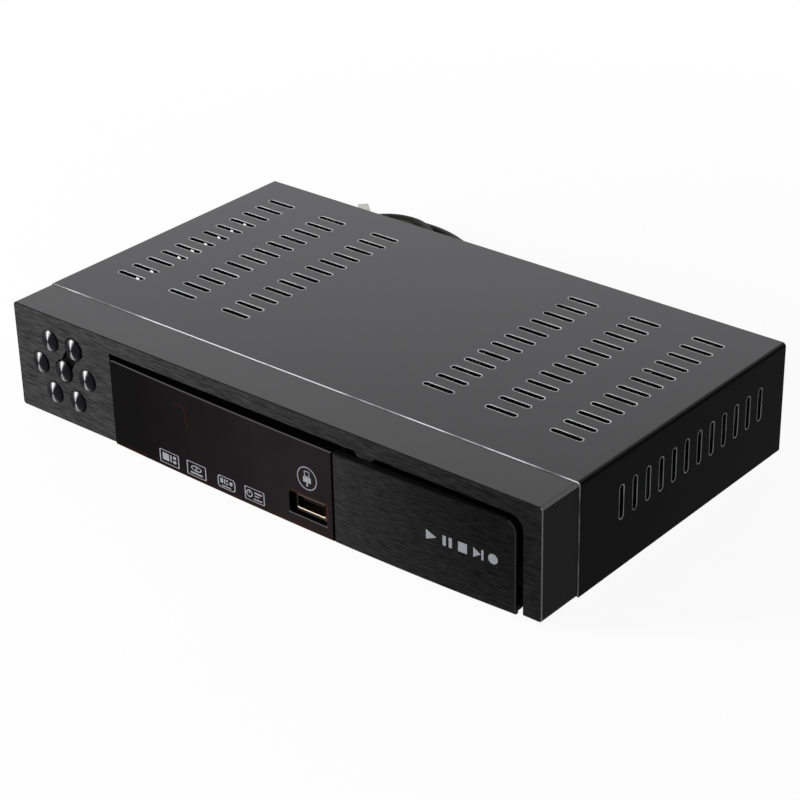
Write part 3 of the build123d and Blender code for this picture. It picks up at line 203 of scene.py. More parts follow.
route = [Vector(p) * MM for p in lead_in] + coil_route() + [Vector(p) * MM for p in lead_out]
lead_curve = bpy.data.curves.new("mains_cord", "CURVE")
lead_curve.dimensions = "3D"
lead_curve.bevel_depth = cord_r
lead_curve.bevel_resolution = 5
lead_curve.resolution_u = 6
spline = lead_curve.splines.new("NURBS")
spline.points.add(len(route) - 1)
for point, place in zip(spline.points, route):
    point.co = (*place, 1)
spline.order_u = 3
spline.use_endpoint_u = True
lead = bpy.data.objects.new("mains_cord", lead_curve)
scene.collection.objects.link(lead)
lead_finish = finish_of("lead_pvc", (0.010, 0.010, 0.009), 0.5, shade=0.3, stretch=260,
                        depth=0.00002, Specular_IOR_Level=0.05)
lead_curve.materials.append(lead_finish)
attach(lead, "receiver")
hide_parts("mains_lead", "mains_coil")
dress(lead_finish, "cord_gland", "plug_body")
dress(finish_of("tie_nylon", (0.36, 0.36, 0.32), 0.4), "coil_tie")
nickel = finish_of("nickel", (0.62, 0.60, 0.56), 0.26, shade=0.15, Metallic=1.0, stretch=(500, 2500, 500))
dress(nickel, "plug_pins")


# ---------------------------------------------------------------- steel tray
# The case's floor, side flanges and rear panel, folded from one zinc-plated sheet 0.8 mm thick.
# It stands on four pressed-in rubber feet.
zinc = finish_of("zinc_plate", (0.50, 0.50, 0.49), 0.38, shade=0.35, rough_range=0.3, stretch=160,
                 Metallic=1.0)
dress(zinc, "steel_tray")
rubber = finish_of("foot_rubber", (0.022, 0.022, 0.022), 0.75, shade=0.4, stretch=1200, depth=0.00004)
dress(rubber, "rubber_feet")


# ---------------------------------------------------------------- boards
# Fibreglass boards 1.6 mm thick on brass posts: a green one for signals, a tan one for the supply
# and a green upright one behind the front. Copper tracks show through the lacquer as paler lines.
def track_group():
    """Mask of straight tracks in two directions: the mortar lines of two brick textures, one turned."""
    tree, given, out = shader_group("copper_tracks", {"Scale": "Float"}, {"Mask": "Float"})
    new, link = tree.nodes.new, tree.links.new
    where = new("ShaderNodeTexCoord")
    masks = []
    for turn in (0.0, pi / 2):
        turned, brick = new("ShaderNodeMapping"), new("ShaderNodeTexBrick")
        turned.inputs["Rotation"].default_value = (0, 0, turn)
        link(where.outputs["Object"], turned.inputs["Vector"])
        link(turned.outputs[0], brick.inputs["Vector"])
        link(given.outputs["Scale"], brick.inputs["Scale"])
        for socket, value in (("Mortar Size", 0.03), ("Brick Width", 1.7), ("Row Height", 0.31)):
            brick.inputs[socket].default_value = value
        masks.append(brick.outputs["Fac"])
    link(calculator(tree)("MAXIMUM", *masks), out.inputs["Mask"])
    return tree


track_tree = track_group()


def blend(tree, share, under, over, kind="RGBA"):
    """Output of a Mix node: over by its share, under for the rest, each plain or an output."""
    mix = tree.nodes.new("ShaderNodeMix")
    mix.data_type = kind
    tree.links.new(share, mix.inputs["Factor"])
    for socket, value in (("A", under), ("B", over)):
        if isinstance(value, (tuple, float)):
            mix.inputs[socket].default_value = value
        else:
            tree.links.new(value, mix.inputs[socket])
    return mix.outputs["Result"]


def paint_over(material, share, colour):
    """Puts a colour over a finish's own where share, an output, says so."""
    tree = material.node_tree
    base = tree.nodes["Principled BSDF"].inputs["Base Color"]
    tree.links.new(blend(tree, share, base.links[0].from_socket, (*colour, 1)), base)


def board_finish(name, lacquer, track):
    material = finish_of(name, lacquer, 0.35, shade=0.25, stretch=500, depth=0.000005)
    tracks = material.node_tree.nodes.new("ShaderNodeGroup")
    tracks.node_tree = track_tree
    tracks.inputs["Scale"].default_value = 160.0
    paint_over(material, tracks.outputs["Mask"], track)
    return material


dress(board_finish("green_board", (0.004, 0.032, 0.012), (0.012, 0.07, 0.026)), "main_board", "front_board")
dress(board_finish("tan_board", (0.028, 0.018, 0.008), (0.042, 0.028, 0.014)), "supply_board")
brass = finish_of("brass", (0.72, 0.50, 0.20), 0.3, shade=0.15, stretch=(400, 400, 2200), Metallic=1.0)
dress(brass, "standoffs")
dress(zinc, "board_screws")


# ---------------------------------------------------------------- pieces on the boards
# Moulded chips, cans in shrink sleeves, ferrite and wound coils, a finned aluminium sink on the
# processor and another on the supply's transistor, and the plugs and cables between the boards.
def surface_axes(tree):
    """The coordinates node, and where a point is and how it faces, each split into X, Y and Z."""
    where = tree.nodes.new("ShaderNodeTexCoord")
    split = []
    for output in ("Object", "Normal"):
        axes = tree.nodes.new("ShaderNodeSeparateXYZ")
        tree.links.new(where.outputs[output], axes.inputs[0])
        split.append(axes.outputs)
    return where, *split


chip_black = finish_of("chip_resin", (0.020, 0.020, 0.021), 0.55, shade=0.3)
dress(chip_black, "processor", "memory_chips", "key_switches", "digit_display", "remote_eye", "card_reader",
      "board_coils", "line_filter")
sleeve_blue = finish_of("sleeve_blue", (0.25, 0.58, 1.0), 0.28, shade=0.12, stretch=(300, 300, 1500))
dress(sleeve_blue, "bulk_capacitor")
sleeve_navy = finish_of("sleeve_navy", (0.008, 0.014, 0.035), 0.35, stretch=(300, 300, 1500),
                        Specular_IOR_Level=0.2)
facing = surface_axes(sleeve_navy.node_tree)[2]
can_top = calculator(sleeve_navy.node_tree)("GREATER_THAN", facing["Z"], 0.95)
paint_over(sleeve_navy, can_top, (0.62, 0.63, 0.64))
dress(sleeve_navy, "board_capacitors", "supply_capacitors")
aluminium = finish_of("aluminium", (0.70, 0.71, 0.72), 0.32, shade=0.12, stretch=(60, 2200, 2200),
                      Metallic=1.0)
dress(aluminium, "processor_sink", "supply_sink")
core_tape = finish_of("core_tape", (0.05, 0.032, 0.008), 0.5, shade=0.3, stretch=(300, 300, 2500))
dress(core_tape, "supply_transformer")
dress(finish_of("fuse_clips", (0.66, 0.64, 0.58), 0.25, Metallic=1.0, stretch=500), "mains_fuse")
dress(finish_of("loom_wires", (0.45, 0.03, 0.02), 0.45, shade=0.35, stretch=300), "power_loom")
white_nylon = finish_of("white_nylon", (0.70, 0.69, 0.64), 0.45, shade=0.1, stretch=600)
dress(white_nylon, "loom_sockets", "ribbon_cable")
dress(finish_of("film", (0.62, 0.60, 0.50), 0.35, shade=0.1, stretch=200), "insulation_sheet")
dress(finish_of("lamp_red", (0.35, 0.01, 0.01), 0.2, shade=0.1, stretch=300), "power_lamp")


# ---------------------------------------------------------------- rear sockets
# Pressed and plated sockets through the rear panel: two threaded aerial barrels with white
# insulators, a nine-way serial socket with two posts, three phono jacks, HDMI, network and a rocker.
tin = finish_of("tin_plate", (0.62, 0.62, 0.60), 0.28, shade=0.25, rough_range=0.25, stretch=220,
                Metallic=1.0)
dress(tin, "serial_socket", "hdmi_socket", "network_socket", "jack_posts", "rca_barrels")
can_tin = finish_of("can_tin", (0.05, 0.05, 0.049), 0.4, shade=0.6, rough_range=0.4, stretch=240,
                    Metallic=1.0)
dress(can_tin, "tuner_can")
band_length = 2 * pi / 20           # of the Wave texture, at a scale of 1
thread_pitch, thread_depth = 0.8 * MM, 0.25 * MM


def thread_finish(name, colour):
    """Nickel whose surface rises and falls along Y like a fine thread."""
    material = finish_of(name, colour, 0.25, shade=0.1, stretch=400, Metallic=1.0)
    tree = material.node_tree
    shader = tree.nodes["Principled BSDF"]
    where, wave, bump = (tree.nodes.new("ShaderNode" + kind) for kind in ("TexCoord", "TexWave", "Bump"))
    wave.bands_direction = "Y"
    wave.inputs["Scale"].default_value = band_length / thread_pitch
    tree.links.new(where.outputs["Object"], wave.inputs["Vector"])
    tree.links.new(wave.outputs["Fac"], bump.inputs["Height"])
    tree.links.new(shader.inputs["Normal"].links[0].from_socket, bump.inputs["Normal"])
    bump.inputs["Distance"].default_value = thread_depth
    tree.links.new(bump.outputs[0], shader.inputs["Normal"])
    return material


dress(thread_finish("threaded_nickel", (0.68, 0.67, 0.62)), "f_connectors")
dress(white_nylon, "f_inserts")
socket_black = finish_of("socket_black", (0.018, 0.018, 0.018), 0.45, shade=0.3, stretch=700)
dress(socket_black, "rca_block", "switch_frame")
for node_name, colour in (("rca_yellow", (0.72, 0.50, 0.02)), ("rca_white", (0.75, 0.74, 0.70)),
                          ("rca_red", (0.50, 0.02, 0.015))):
    dress(finish_of(node_name + "_plastic", colour, 0.38, shade=0.1, stretch=500), node_name)
dress(finish_of("rocker_black", (0.012, 0.012, 0.013), 0.25, stretch=400), "switch_rocker")


# ---------------------------------------------------------------- front socket
# A USB socket's shell, folded from steel sheet and plated. Its inside lies in the dark, so its plating
# is painted near black as shade, with a painted gold reflection on its lower lip and a painted grey
# highlight on its upper lip where they reach the mouth.
lip_y, lower_lip_z, upper_lip_z = -81.0 * MM, 10.6 * MM, 15.3 * MM
lower_lip_painted_reflection, upper_lip_painted_highlight = (0.80, 0.62, 0.46), (0.07, 0.065, 0.06)
# Its plating is painted near black as shade.
socket_steel = finish_of("socket_steel", (0.005, 0.0038, 0.003), 0.35, shade=0.3, stretch=500,
                         Specular_IOR_Level=0.03)
math = calculator(socket_steel.node_tree)
place = surface_axes(socket_steel.node_tree)[1]
at_mouth = math("LESS_THAN", place["Y"], lip_y)
lower_lip = math("LESS_THAN", place["Z"], lower_lip_z)
upper_lip = math("GREATER_THAN", place["Z"], upper_lip_z)
# A painted reflection on the lower lip and a painted highlight on the upper lip, at the mouth.
paint_over(socket_steel, math("MULTIPLY", lower_lip, at_mouth), lower_lip_painted_reflection)
paint_over(socket_steel, math("MULTIPLY", upper_lip, at_mouth), upper_lip_painted_highlight)
dress(socket_steel, "front_socket")


# ---------------------------------------------------------------- moulded front
# One black ABS moulding. Its face is printed with fine level brushing; its top, ends and back are
# left satin. Its right-hand corners carry a painted highlight, forward faces set back behind the face
# are painted darker as shade, and the pocket round the front socket has a painted glow. The flap's
# face has the same brushing, with its colours set darker as painted shade.
face_y, pocket_y = -79.3 * MM, -80.5 * MM       # the face and the socket's pocket lie ahead of these
pocket_top_z, pocket_right_x = 15.4 * MM, 33.7 * MM
# The first colour is painted shade for forward faces set back behind the face.
recess_painted_shade, pocket_black = (0.0015, 0.0015, 0.0015, 1), (0.003, 0.003, 0.003, 1)
# The first colour is a painted glow on the pocket's top and right, the second a painted highlight on the
# right-hand corners.
pocket_painted_glow, corner_painted_highlight = (0.115, 0.034, 0.014, 1), (0.16, 0.16, 0.165, 1)
line_stretch, line_depth = (150, 60, 2100), 0.03 * MM
satin_roughness, brushed_roughness = 0.34, (0.36, 0.52)
satin_gloss, level_gloss, corner_gloss, line_gloss = 0.02, 0.105, 0.25, 0.05


def brush_parts(tree):
    """Place, facing, the masks of forward faces, of the brushed face and of the right-hand
    corners, and the brushed lines, as noise and as shade."""
    new, link, math = tree.nodes.new, tree.links.new, calculator(tree)
    where, place, facing = surface_axes(tree)
    forwards = math("LESS_THAN", facing["Y"], -0.93)
    face = math("MULTIPLY", forwards, math("LESS_THAN", place["Y"], face_y))
    other_side = math("MAXIMUM", math("GREATER_THAN", facing["Z"], 0.3),
                      math("LESS_THAN", facing["Y"], -0.3))
    corner = math("MULTIPLY", math("GREATER_THAN", facing["X"], 0.3), other_side)
    stretch, lines, shade = (new("ShaderNode" + kind) for kind in ("VectorMath", "TexNoise", "MapRange"))
    stretch.operation = "MULTIPLY"
    stretch.inputs[1].default_value = line_stretch
    link(where.outputs["Object"], stretch.inputs[0])
    link(stretch.outputs[0], lines.inputs["Vector"])
    for socket, value in (("Scale", 1.0), ("Detail", 4.0), ("Roughness", 0.7)):
        lines.inputs[socket].default_value = value
    link(lines.outputs["Fac"], shade.inputs["Value"])
    for socket, value in (("From Min", 0.3), ("From Max", 0.7), ("To Min", 0.15), ("To Max", 1.9)):
        shade.inputs[socket].default_value = value
    return place, facing, forwards, face, corner, lines.outputs["Fac"], shade.outputs[0]


def brushed_group():
    """Fine level lines on the face, satin elsewhere, with painted shade on forward faces set back behind the
    face, a painted highlight on the right-hand corners and a painted glow in the socket's pocket: colour,
    roughness and normal.
    """
    tree, given, out = shader_group("brushed_face", {"Color": "Color", "Satin": "Color", "Socket": "Float"},
                                    {"Color": "Color", "Roughness": "Float", "Normal": "Vector"})
    new, link, math = tree.nodes.new, tree.links.new, calculator(tree)
    place, _, forwards, face, corner, lines, shade = brush_parts(tree)
    lined = new("ShaderNodeVectorMath")
    lined.operation = "SCALE"
    link(given.outputs["Color"], lined.inputs[0])
    link(shade, lined.inputs["Scale"])
    # Forward faces set back behind the face are painted darker, as painted shade.
    satin = blend(tree, forwards, given.outputs["Satin"], recess_painted_shade)
    # The right-hand corners of the socket's piece get a painted highlight.
    satin = blend(tree, math("MULTIPLY", corner, given.outputs["Socket"]), satin, corner_painted_highlight)
    colour = blend(tree, face, satin, lined.outputs[0])
    pocket = math("MULTIPLY", math("MULTIPLY", face, given.outputs["Socket"]),
                  math("LESS_THAN", place["Y"], pocket_y))
    # The pocket's top and right faces get a painted glow; the rest of it is plain black.
    lit_edge = math("MAXIMUM", math("GREATER_THAN", place["Z"], pocket_top_z),
                    math("GREATER_THAN", place["X"], pocket_right_x))
    link(blend(tree, pocket, colour, blend(tree, lit_edge, pocket_black, pocket_painted_glow)), out.inputs["Color"])
    rough = new("ShaderNodeMapRange")
    link(lines, rough.inputs["Value"])
    rough.inputs["To Min"].default_value, rough.inputs["To Max"].default_value = brushed_roughness
    link(blend(tree, face, satin_roughness, rough.outputs[0], "FLOAT"), out.inputs["Roughness"])
    bump = new("ShaderNodeBump")
    bump.inputs["Distance"].default_value = line_depth
    link(math("MULTIPLY", lines, face), bump.inputs["Height"])
    link(bump.outputs[0], out.inputs["Normal"])
    return tree


brushed_tree = brushed_group()


def brushed_plastic(name, face_colour, satin_colour, socket):
    """Brushed black; socket is 1 on the piece that holds the front socket, whose pocket gets a painted glow
    and whose corners get a painted highlight.
    """
    material = material_from(name, brushed_tree, {
        "Color": (*face_colour, 1), "Satin": (*satin_colour, 1), "Socket": socket})
    tree = material.node_tree
    shader = tree.nodes["Principled BSDF"]
    link, math = tree.links.new, calculator(tree)
    _, facing, _, face, corner, _, shade = brush_parts(tree)
    level = math("MULTIPLY", math("GREATER_THAN", facing["Z"], 0.9), level_gloss)
    satin = math("ADD", math("ADD", math("MULTIPLY", corner, corner_gloss), level), satin_gloss)
    gloss = blend(tree, face, satin, math("MULTIPLY", shade, line_gloss), "FLOAT")
    link(gloss, shader.inputs["Specular IOR Level"])
    link(face, shader.inputs["Anisotropic"])
    upright = tree.nodes.new("ShaderNodeTangent")
    upright.direction_type = "RADIAL"
    upright.axis = "X"
    link(upright.outputs[0], shader.inputs["Tangent"])
    return material


dress(brushed_plastic("front_abs", (0.002, 0.002, 0.002), (0.0075, 0.0075, 0.008), 1.0), "front_moulding")
# The flap's copy has darker colours than the front's, as painted shade.
dress(brushed_plastic("flap_abs", (0.0015, 0.0015, 0.0015), (0.003, 0.003, 0.003), 0.0), "flap_door")


# ---------------------------------------------------------------- display window
# Smoked acrylic 5 mm thick at its middle, flat behind and bowed in front, polished all over. Its
# broken edges catch the light. Painted into its colour are light paler to the right, a brown glow
# round the cut for the front socket, a grey highlight on the cut's sill, and a red glow: the lit
# digit behind it as a leaning stroke and a dash, and a speckled band along the bottom.
cut_x, cut_z = (27.2, 9.1), (12.8, 4.5)         # middle and half width, in millimetres
band_width, sill_width = 0.9, 0.4
band_x, band_z, band_beyond_x, band_beyond_z, sill_z = 19.5, 10.5, 36.2, 17.0, 8.3
stroke_x, stroke_z, stroke_lean = (-34.3, 0.35), (29.0, 4.3), 0.19
dash_x, dash_z = (-37.5, 2.2), (33.2, 0.3)
glow_band_z = 5.5
painted_light_x = (-60.0, 20.0)
# The paler smoke is painted light towards the right.
smoke_deep, smoke_painted_light = (0.0015, 0.0012, 0.0013, 1), (0.0085, 0.0068, 0.0074, 1)
# A painted brown glow round the cut, a painted grey highlight on its sill, and a painted red glow.
cut_painted_glow, sill_painted_highlight, red_painted_glow = (0.021, 0.0078, 0.005, 1), (0.06, 0.06, 0.06, 1), (0.032, 0.004, 0.0035, 1)
face_gloss, edge_gloss = 0.015, 0.9


def smoked_acrylic():
    """Clear black, painted paler to the right as painted light, with a painted brown glow and a painted grey
    highlight at the cut-out, and a painted red glow.
    """
    material = bpy.data.materials.new("smoked_acrylic")
    material.use_nodes = True
    tree = material.node_tree
    shader = tree.nodes["Principled BSDF"]
    link, math = tree.links.new, calculator(tree)
    where, place, facing = surface_axes(tree)
    x, z = place["X"], place["Z"]

    def product(first, *others):
        for other in others:
            first = math("MULTIPLY", first, other)
        return first

    def outside(value, span):
        """How far a value lies outside a span, negative within it."""
        middle, half = span
        return math("SUBTRACT", math("ABSOLUTE", math("SUBTRACT", value, middle * MM)), half * MM)

    def clouds(scale):
        noise = tree.nodes.new("ShaderNodeTexNoise")
        noise.inputs["Scale"].default_value = scale
        link(where.outputs["Object"], noise.inputs["Vector"])
        return noise.outputs["Fac"]

    front = math("LESS_THAN", facing["Y"], -0.95)
    # Painted light: the face grows paler towards the right.
    painted_light_ramp = tree.nodes.new("ShaderNodeMapRange")
    link(x, painted_light_ramp.inputs["Value"])
    for socket, end in zip(("From Min", "From Max"), painted_light_x):
        painted_light_ramp.inputs[socket].default_value = end * MM
    pale = product(painted_light_ramp.outputs[0], front, math("ADD", clouds(70.0), 0.5))
    colour = blend(tree, pale, smoke_deep, smoke_painted_light)
    around = math("MAXIMUM", outside(x, cut_x), outside(z, cut_z))
    beyond = math("MAXIMUM", math("GREATER_THAN", z, band_beyond_z * MM),
                  math("GREATER_THAN", x, band_beyond_x * MM))
    band = product(math("LESS_THAN", around, band_width * MM), front, beyond,
                   math("GREATER_THAN", z, band_z * MM), math("GREATER_THAN", x, band_x * MM))
    # The band round the cut's top and right gets a painted brown glow.
    colour = blend(tree, band, colour, cut_painted_glow)
    # A painted grey highlight along the cut's sill.
    sill = product(math("LESS_THAN", around, sill_width * MM), front, math("LESS_THAN", z, sill_z * MM))
    colour = blend(tree, sill, colour, sill_painted_highlight)
    speckle = clouds(160.0)
    # A painted red glow on a speckled band along the bottom and on the lit digit's stroke and dash.
    low = math("MULTIPLY", math("LESS_THAN", z, glow_band_z * MM), math("SUBTRACT", speckle, 0.35))
    lean = math("ADD", x, math("MULTIPLY", math("SUBTRACT", z, stroke_z[0] * MM), stroke_lean))
    stroke = math("MULTIPLY", math("LESS_THAN", outside(lean, stroke_x), 0.0),
                  math("LESS_THAN", outside(z, stroke_z), 0.0))
    dash = math("MULTIPLY", math("LESS_THAN", outside(x, dash_x), 0.0),
                math("LESS_THAN", outside(z, dash_z), 0.0))
    lit = math("MULTIPLY", math("MAXIMUM", stroke, dash), speckle)
    red_glow_share = math("MULTIPLY", math("MAXIMUM", math("MAXIMUM", low, 0.0), lit), front)
    link(blend(tree, red_glow_share, colour, red_painted_glow), shader.inputs["Base Color"])
    broken = math("MULTIPLY", math("GREATER_THAN", facing["Z"], 0.3), math("LESS_THAN", facing["Z"], 0.9))
    link(math("ADD", math("MULTIPLY", broken, edge_gloss), face_gloss), shader.inputs["Specular IOR Level"])
    shader.inputs["Roughness"].default_value = 0.06
    return material


dress(smoked_acrylic(), "display_window")


# ---------------------------------------------------------------- printed marks
# Pale grey marks, screen-printed on the window and the flap: four boxed pictograms, a ringed plug
# above the front socket, and a row of playback marks. No words are printed.
front_y, base_z = -79.55, 3.0
bow_ends, bow_peak, bow_peak_x = ((-75.3, 1.1), (119.6, 1.5)), 3.6, 45.0
ink = 0.02                          # thickness, in millimetres
print_grey = finish_of("print_grey", (0.135, 0.135, 0.155), 0.6, shade=0.25, stretch=1500)


def bow_at(x):
    """How far the bowed front stands ahead of the moulding's face at x, in millimetres."""
    end_x, end = bow_ends[0] if x < bow_peak_x else bow_ends[1]
    run, drop = abs(end_x - bow_peak_x), bow_peak - end
    radius = (run**2 + drop**2) / (2 * drop)
    return bow_peak - radius + (radius**2 - (x - bow_peak_x) ** 2) ** 0.5


def bar(x0, x1, z0, z1):
    """A level or upright bar between two places in x and two in z."""
    return [(x0, z0), (x1, z0), (x1, z1), (x0, z1)]


def round_shape(x, z, radius, corners, flat=1.0):
    """A many-sided disc, flattened to an oval by flat."""
    angles = [2 * pi * k / corners for k in range(corners)]
    return [(x + radius * cos(angle), z + flat * radius * sin(angle)) for angle in angles]


def outline(points, middle, thick):
    """The points' closed line, as one quad per side, thick towards the middle."""
    inner = []
    for x, z in points:
        away = Vector((x - middle[0], z - middle[1]))
        away *= 1 - thick / away.length
        inner.append((middle[0] + away.x, middle[1] + away.y))
    count = len(points)
    return [[points[k], points[(k + 1) % count], inner[(k + 1) % count], inner[k]] for k in range(count)]


def frame_box(x0, x1, z0, z1, cut):
    """A rectangle's outline with its corners cut off."""
    corners = [(x0 + cut, z0), (x1 - cut, z0), (x1, z0 + cut), (x1, z1 - cut),
               (x1 - cut, z1), (x0 + cut, z1), (x0, z1 - cut), (x0, z0 + cut)]
    return outline(corners, ((x0 + x1) / 2, (z0 + z1) / 2), box_line)


def printed(name, body, shapes):
    """Ink on the bowed face: each shape is a flat outline of x and z in millimetres."""
    marks = bmesh.new()
    for shape in shapes:
        corners = [marks.verts.new((x * MM, (front_y - bow_at(x)) * MM, (base_z + z) * MM)) for x, z in shape]
        marks.faces.new(corners)
    bmesh.ops.recalc_face_normals(marks, faces=marks.faces)
    thick = bmesh.ops.extrude_face_region(marks, geom=marks.faces[:])
    raised = [item for item in thick["geom"] if isinstance(item, bmesh.types.BMVert)]
    bmesh.ops.translate(marks, vec=(0, -ink * MM, 0), verts=raised)
    bmesh.ops.recalc_face_normals(marks, faces=marks.faces)
    data = bpy.data.meshes.new(name)
    marks.to_mesh(data)
    marks.free()
    data.materials.append(print_grey)
    piece = bpy.data.objects.new(name, data)
    scene.collection.objects.link(piece)
    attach(piece, body)


box_line = 0.55
screen_mark = frame_box(-50.0, -39.4, 2.0, 7.7, 0.3)
screen_mark += [bar(-48.4, -44.9, 3.4, 6.5), bar(-44.2, -43.5, 3.4, 6.5), bar(-42.7, -41.0, 5.3, 6.5),
                bar(-42.7, -41.0, 3.4, 4.6)]
printed("mark_screen", "receiver", screen_mark)
disc_mark = frame_box(-35.1, -24.8, 2.0, 7.9, 0.3)
disc_mark += outline(round_shape(-30.0, 5.5, 2.9, 20, flat=0.42), (-30.0, 5.5), 0.6)
disc_mark += [bar(-33.2, -26.7, 3.0, 3.7), bar(-30.5, -29.5, 5.2, 5.8)]
printed("mark_disc", "receiver", disc_mark)
record_mark = frame_box(-18.7, -9.5, 2.5, 7.7, 0.9)
record_mark += [round_shape(-11.7, 5.6, 0.85, 16), bar(-17.3, -15.9, 4.6, 6.6), bar(-15.4, -14.7, 4.6, 6.6),
                bar(-14.3, -13.2, 5.9, 6.6), bar(-14.3, -13.2, 4.6, 5.2), bar(-16.6, -11.8, 3.3, 3.8)]
printed("mark_record", "receiver", record_mark)
clock_mark = frame_box(-4.6, 5.5, 2.4, 8.0, 0.3)
clock_mark += outline(round_shape(-2.2, 5.3, 1.6, 16), (-2.2, 5.3), 0.5)
clock_mark += [bar(-2.4, -2.0, 5.3, 6.6), bar(0.4, 4.2, 6.0, 6.7), bar(0.4, 2.9, 4.8, 5.3),
               bar(-0.2, 4.2, 3.4, 3.9)]
printed("mark_clock", "receiver", clock_mark)
ring_x, ring_z = 27.4, 22.2
plug_mark = outline(round_shape(ring_x, ring_z, 4.75, 48), (ring_x, ring_z), 0.4)
plug_shell = bar(ring_x - 1.3, ring_x + 1.3, ring_z + 0.7, ring_z + 3.0)
plug_mark += outline(plug_shell, (ring_x, ring_z + 1.85), 0.45)
plug_mark += [bar(ring_x - 1.9, ring_x + 1.9, ring_z - 1.7, ring_z + 0.5),
              bar(ring_x - 0.35, ring_x + 0.35, ring_z - 3.3, ring_z - 1.9)]
printed("mark_plug", "receiver", plug_mark)
low, high = 17.4, 21.4
middle = (low + high) / 2
play_marks = [[(82.0, low), (86.6, middle), (82.0, high)], bar(89.2, 90.6, low, high),
              bar(91.8, 93.2, low, high), bar(95.8, 99.6, low, high),
              [(102.2, low), (105.4, middle), (102.2, high)], bar(105.6, 106.5, low, high),
              round_shape(110.4, middle, 2.0, 24)]
printed("mark_play", "flap", play_marks)


# ---------------------------------------------------------------- keys
# Seven domes of glossy black plastic with a spun metal finish: fine rings round each key's middle
# stretch its highlights outwards, and the polish is deepest above and below the middle.
bow_line, bow_sharpness, polish_range = (-0.10, 0, 0.995), 9.0, (0.05, 1.0)
key_middle, key_pitch = (-103.0, 25.9), 13.1
row_pitch = key_pitch * 3**0.5 / 2
key_places = {"key_power": (-0.5, 1), "key_up": (0.5, 1), "key_left": (-1, 0), "key_ok": (0, 0),
              "key_right": (1, 0), "key_down": (-0.5, -1), "key_menu": (0.5, -1)}


def spun_black(name, middle):
    """Black gloss whose tangent points away from the key's middle, with the polish of spun rings."""
    material = finish_of(name, (0.004, 0.004, 0.005), 0.36, rough_range=0.1, stretch=700,
                         depth=0.000002, Anisotropic=1.0)
    tree = material.node_tree
    shader = tree.nodes["Principled BSDF"]
    new, link, math = tree.nodes.new, tree.links.new, calculator(tree)
    offset, level, away, upright = (new("ShaderNodeVectorMath") for _ in range(4))
    offset.operation, level.operation = "SUBTRACT", "MULTIPLY"
    away.operation, upright.operation = "NORMALIZE", "DOT_PRODUCT"
    link(new("ShaderNodeTexCoord").outputs["Object"], offset.inputs[0])
    offset.inputs[1].default_value = middle
    link(offset.outputs[0], level.inputs[0])
    level.inputs[1].default_value = (1, 0, 1)
    link(level.outputs[0], away.inputs[0])
    link(away.outputs[0], shader.inputs["Tangent"])
    link(away.outputs[0], upright.inputs[0])
    upright.inputs[1].default_value = bow_line
    cosine = upright.outputs["Value"]
    polish = new("ShaderNodeMapRange")
    link(math("POWER", math("MULTIPLY", cosine, cosine), bow_sharpness), polish.inputs["Value"])
    polish.inputs["To Min"].default_value, polish.inputs["To Max"].default_value = polish_range
    link(polish.outputs[0], shader.inputs["Specular IOR Level"])
    return material


for name, (column, row) in key_places.items():
    middle = ((key_middle[0] + column * key_pitch) * MM, 0, (key_middle[1] + row * row_pitch) * MM)
    dress(spun_black(name + "_gloss", middle), name)


# ---------------------------------------------------------------- steel cover
# Folded from one sheet of steel 0.8 mm thick, punched with the vents, then painted satin black. The
# sheet's front edge and the rolled edges of the slots are coloured pale grey: partly bare steel where
# the paint has worn off, partly a painted highlight of their rounded edges.
cover_front_y = min(v.co.y for v in nodes["steel_cover"].data.vertices) + 0.2 * MM
slot_size, slot_pitch, slot_count, slot_rim = (13.5, 2.3), 8.15, 12, 0.42
side_slot_size, side_slot_z, side_slot_y = (13.3, 2.3), 29.75, (-36.85, -33.95)
column_middle, column_first, column_pitch, column_count, column_y = -1.2, 50.5, 28.7, 3, -34.55
worn_and_highlight_grey, side_rim_share = (0.52, 0.52, 0.53), 0.9
paint_gloss, level_paint_gloss = 0.01, 0.09


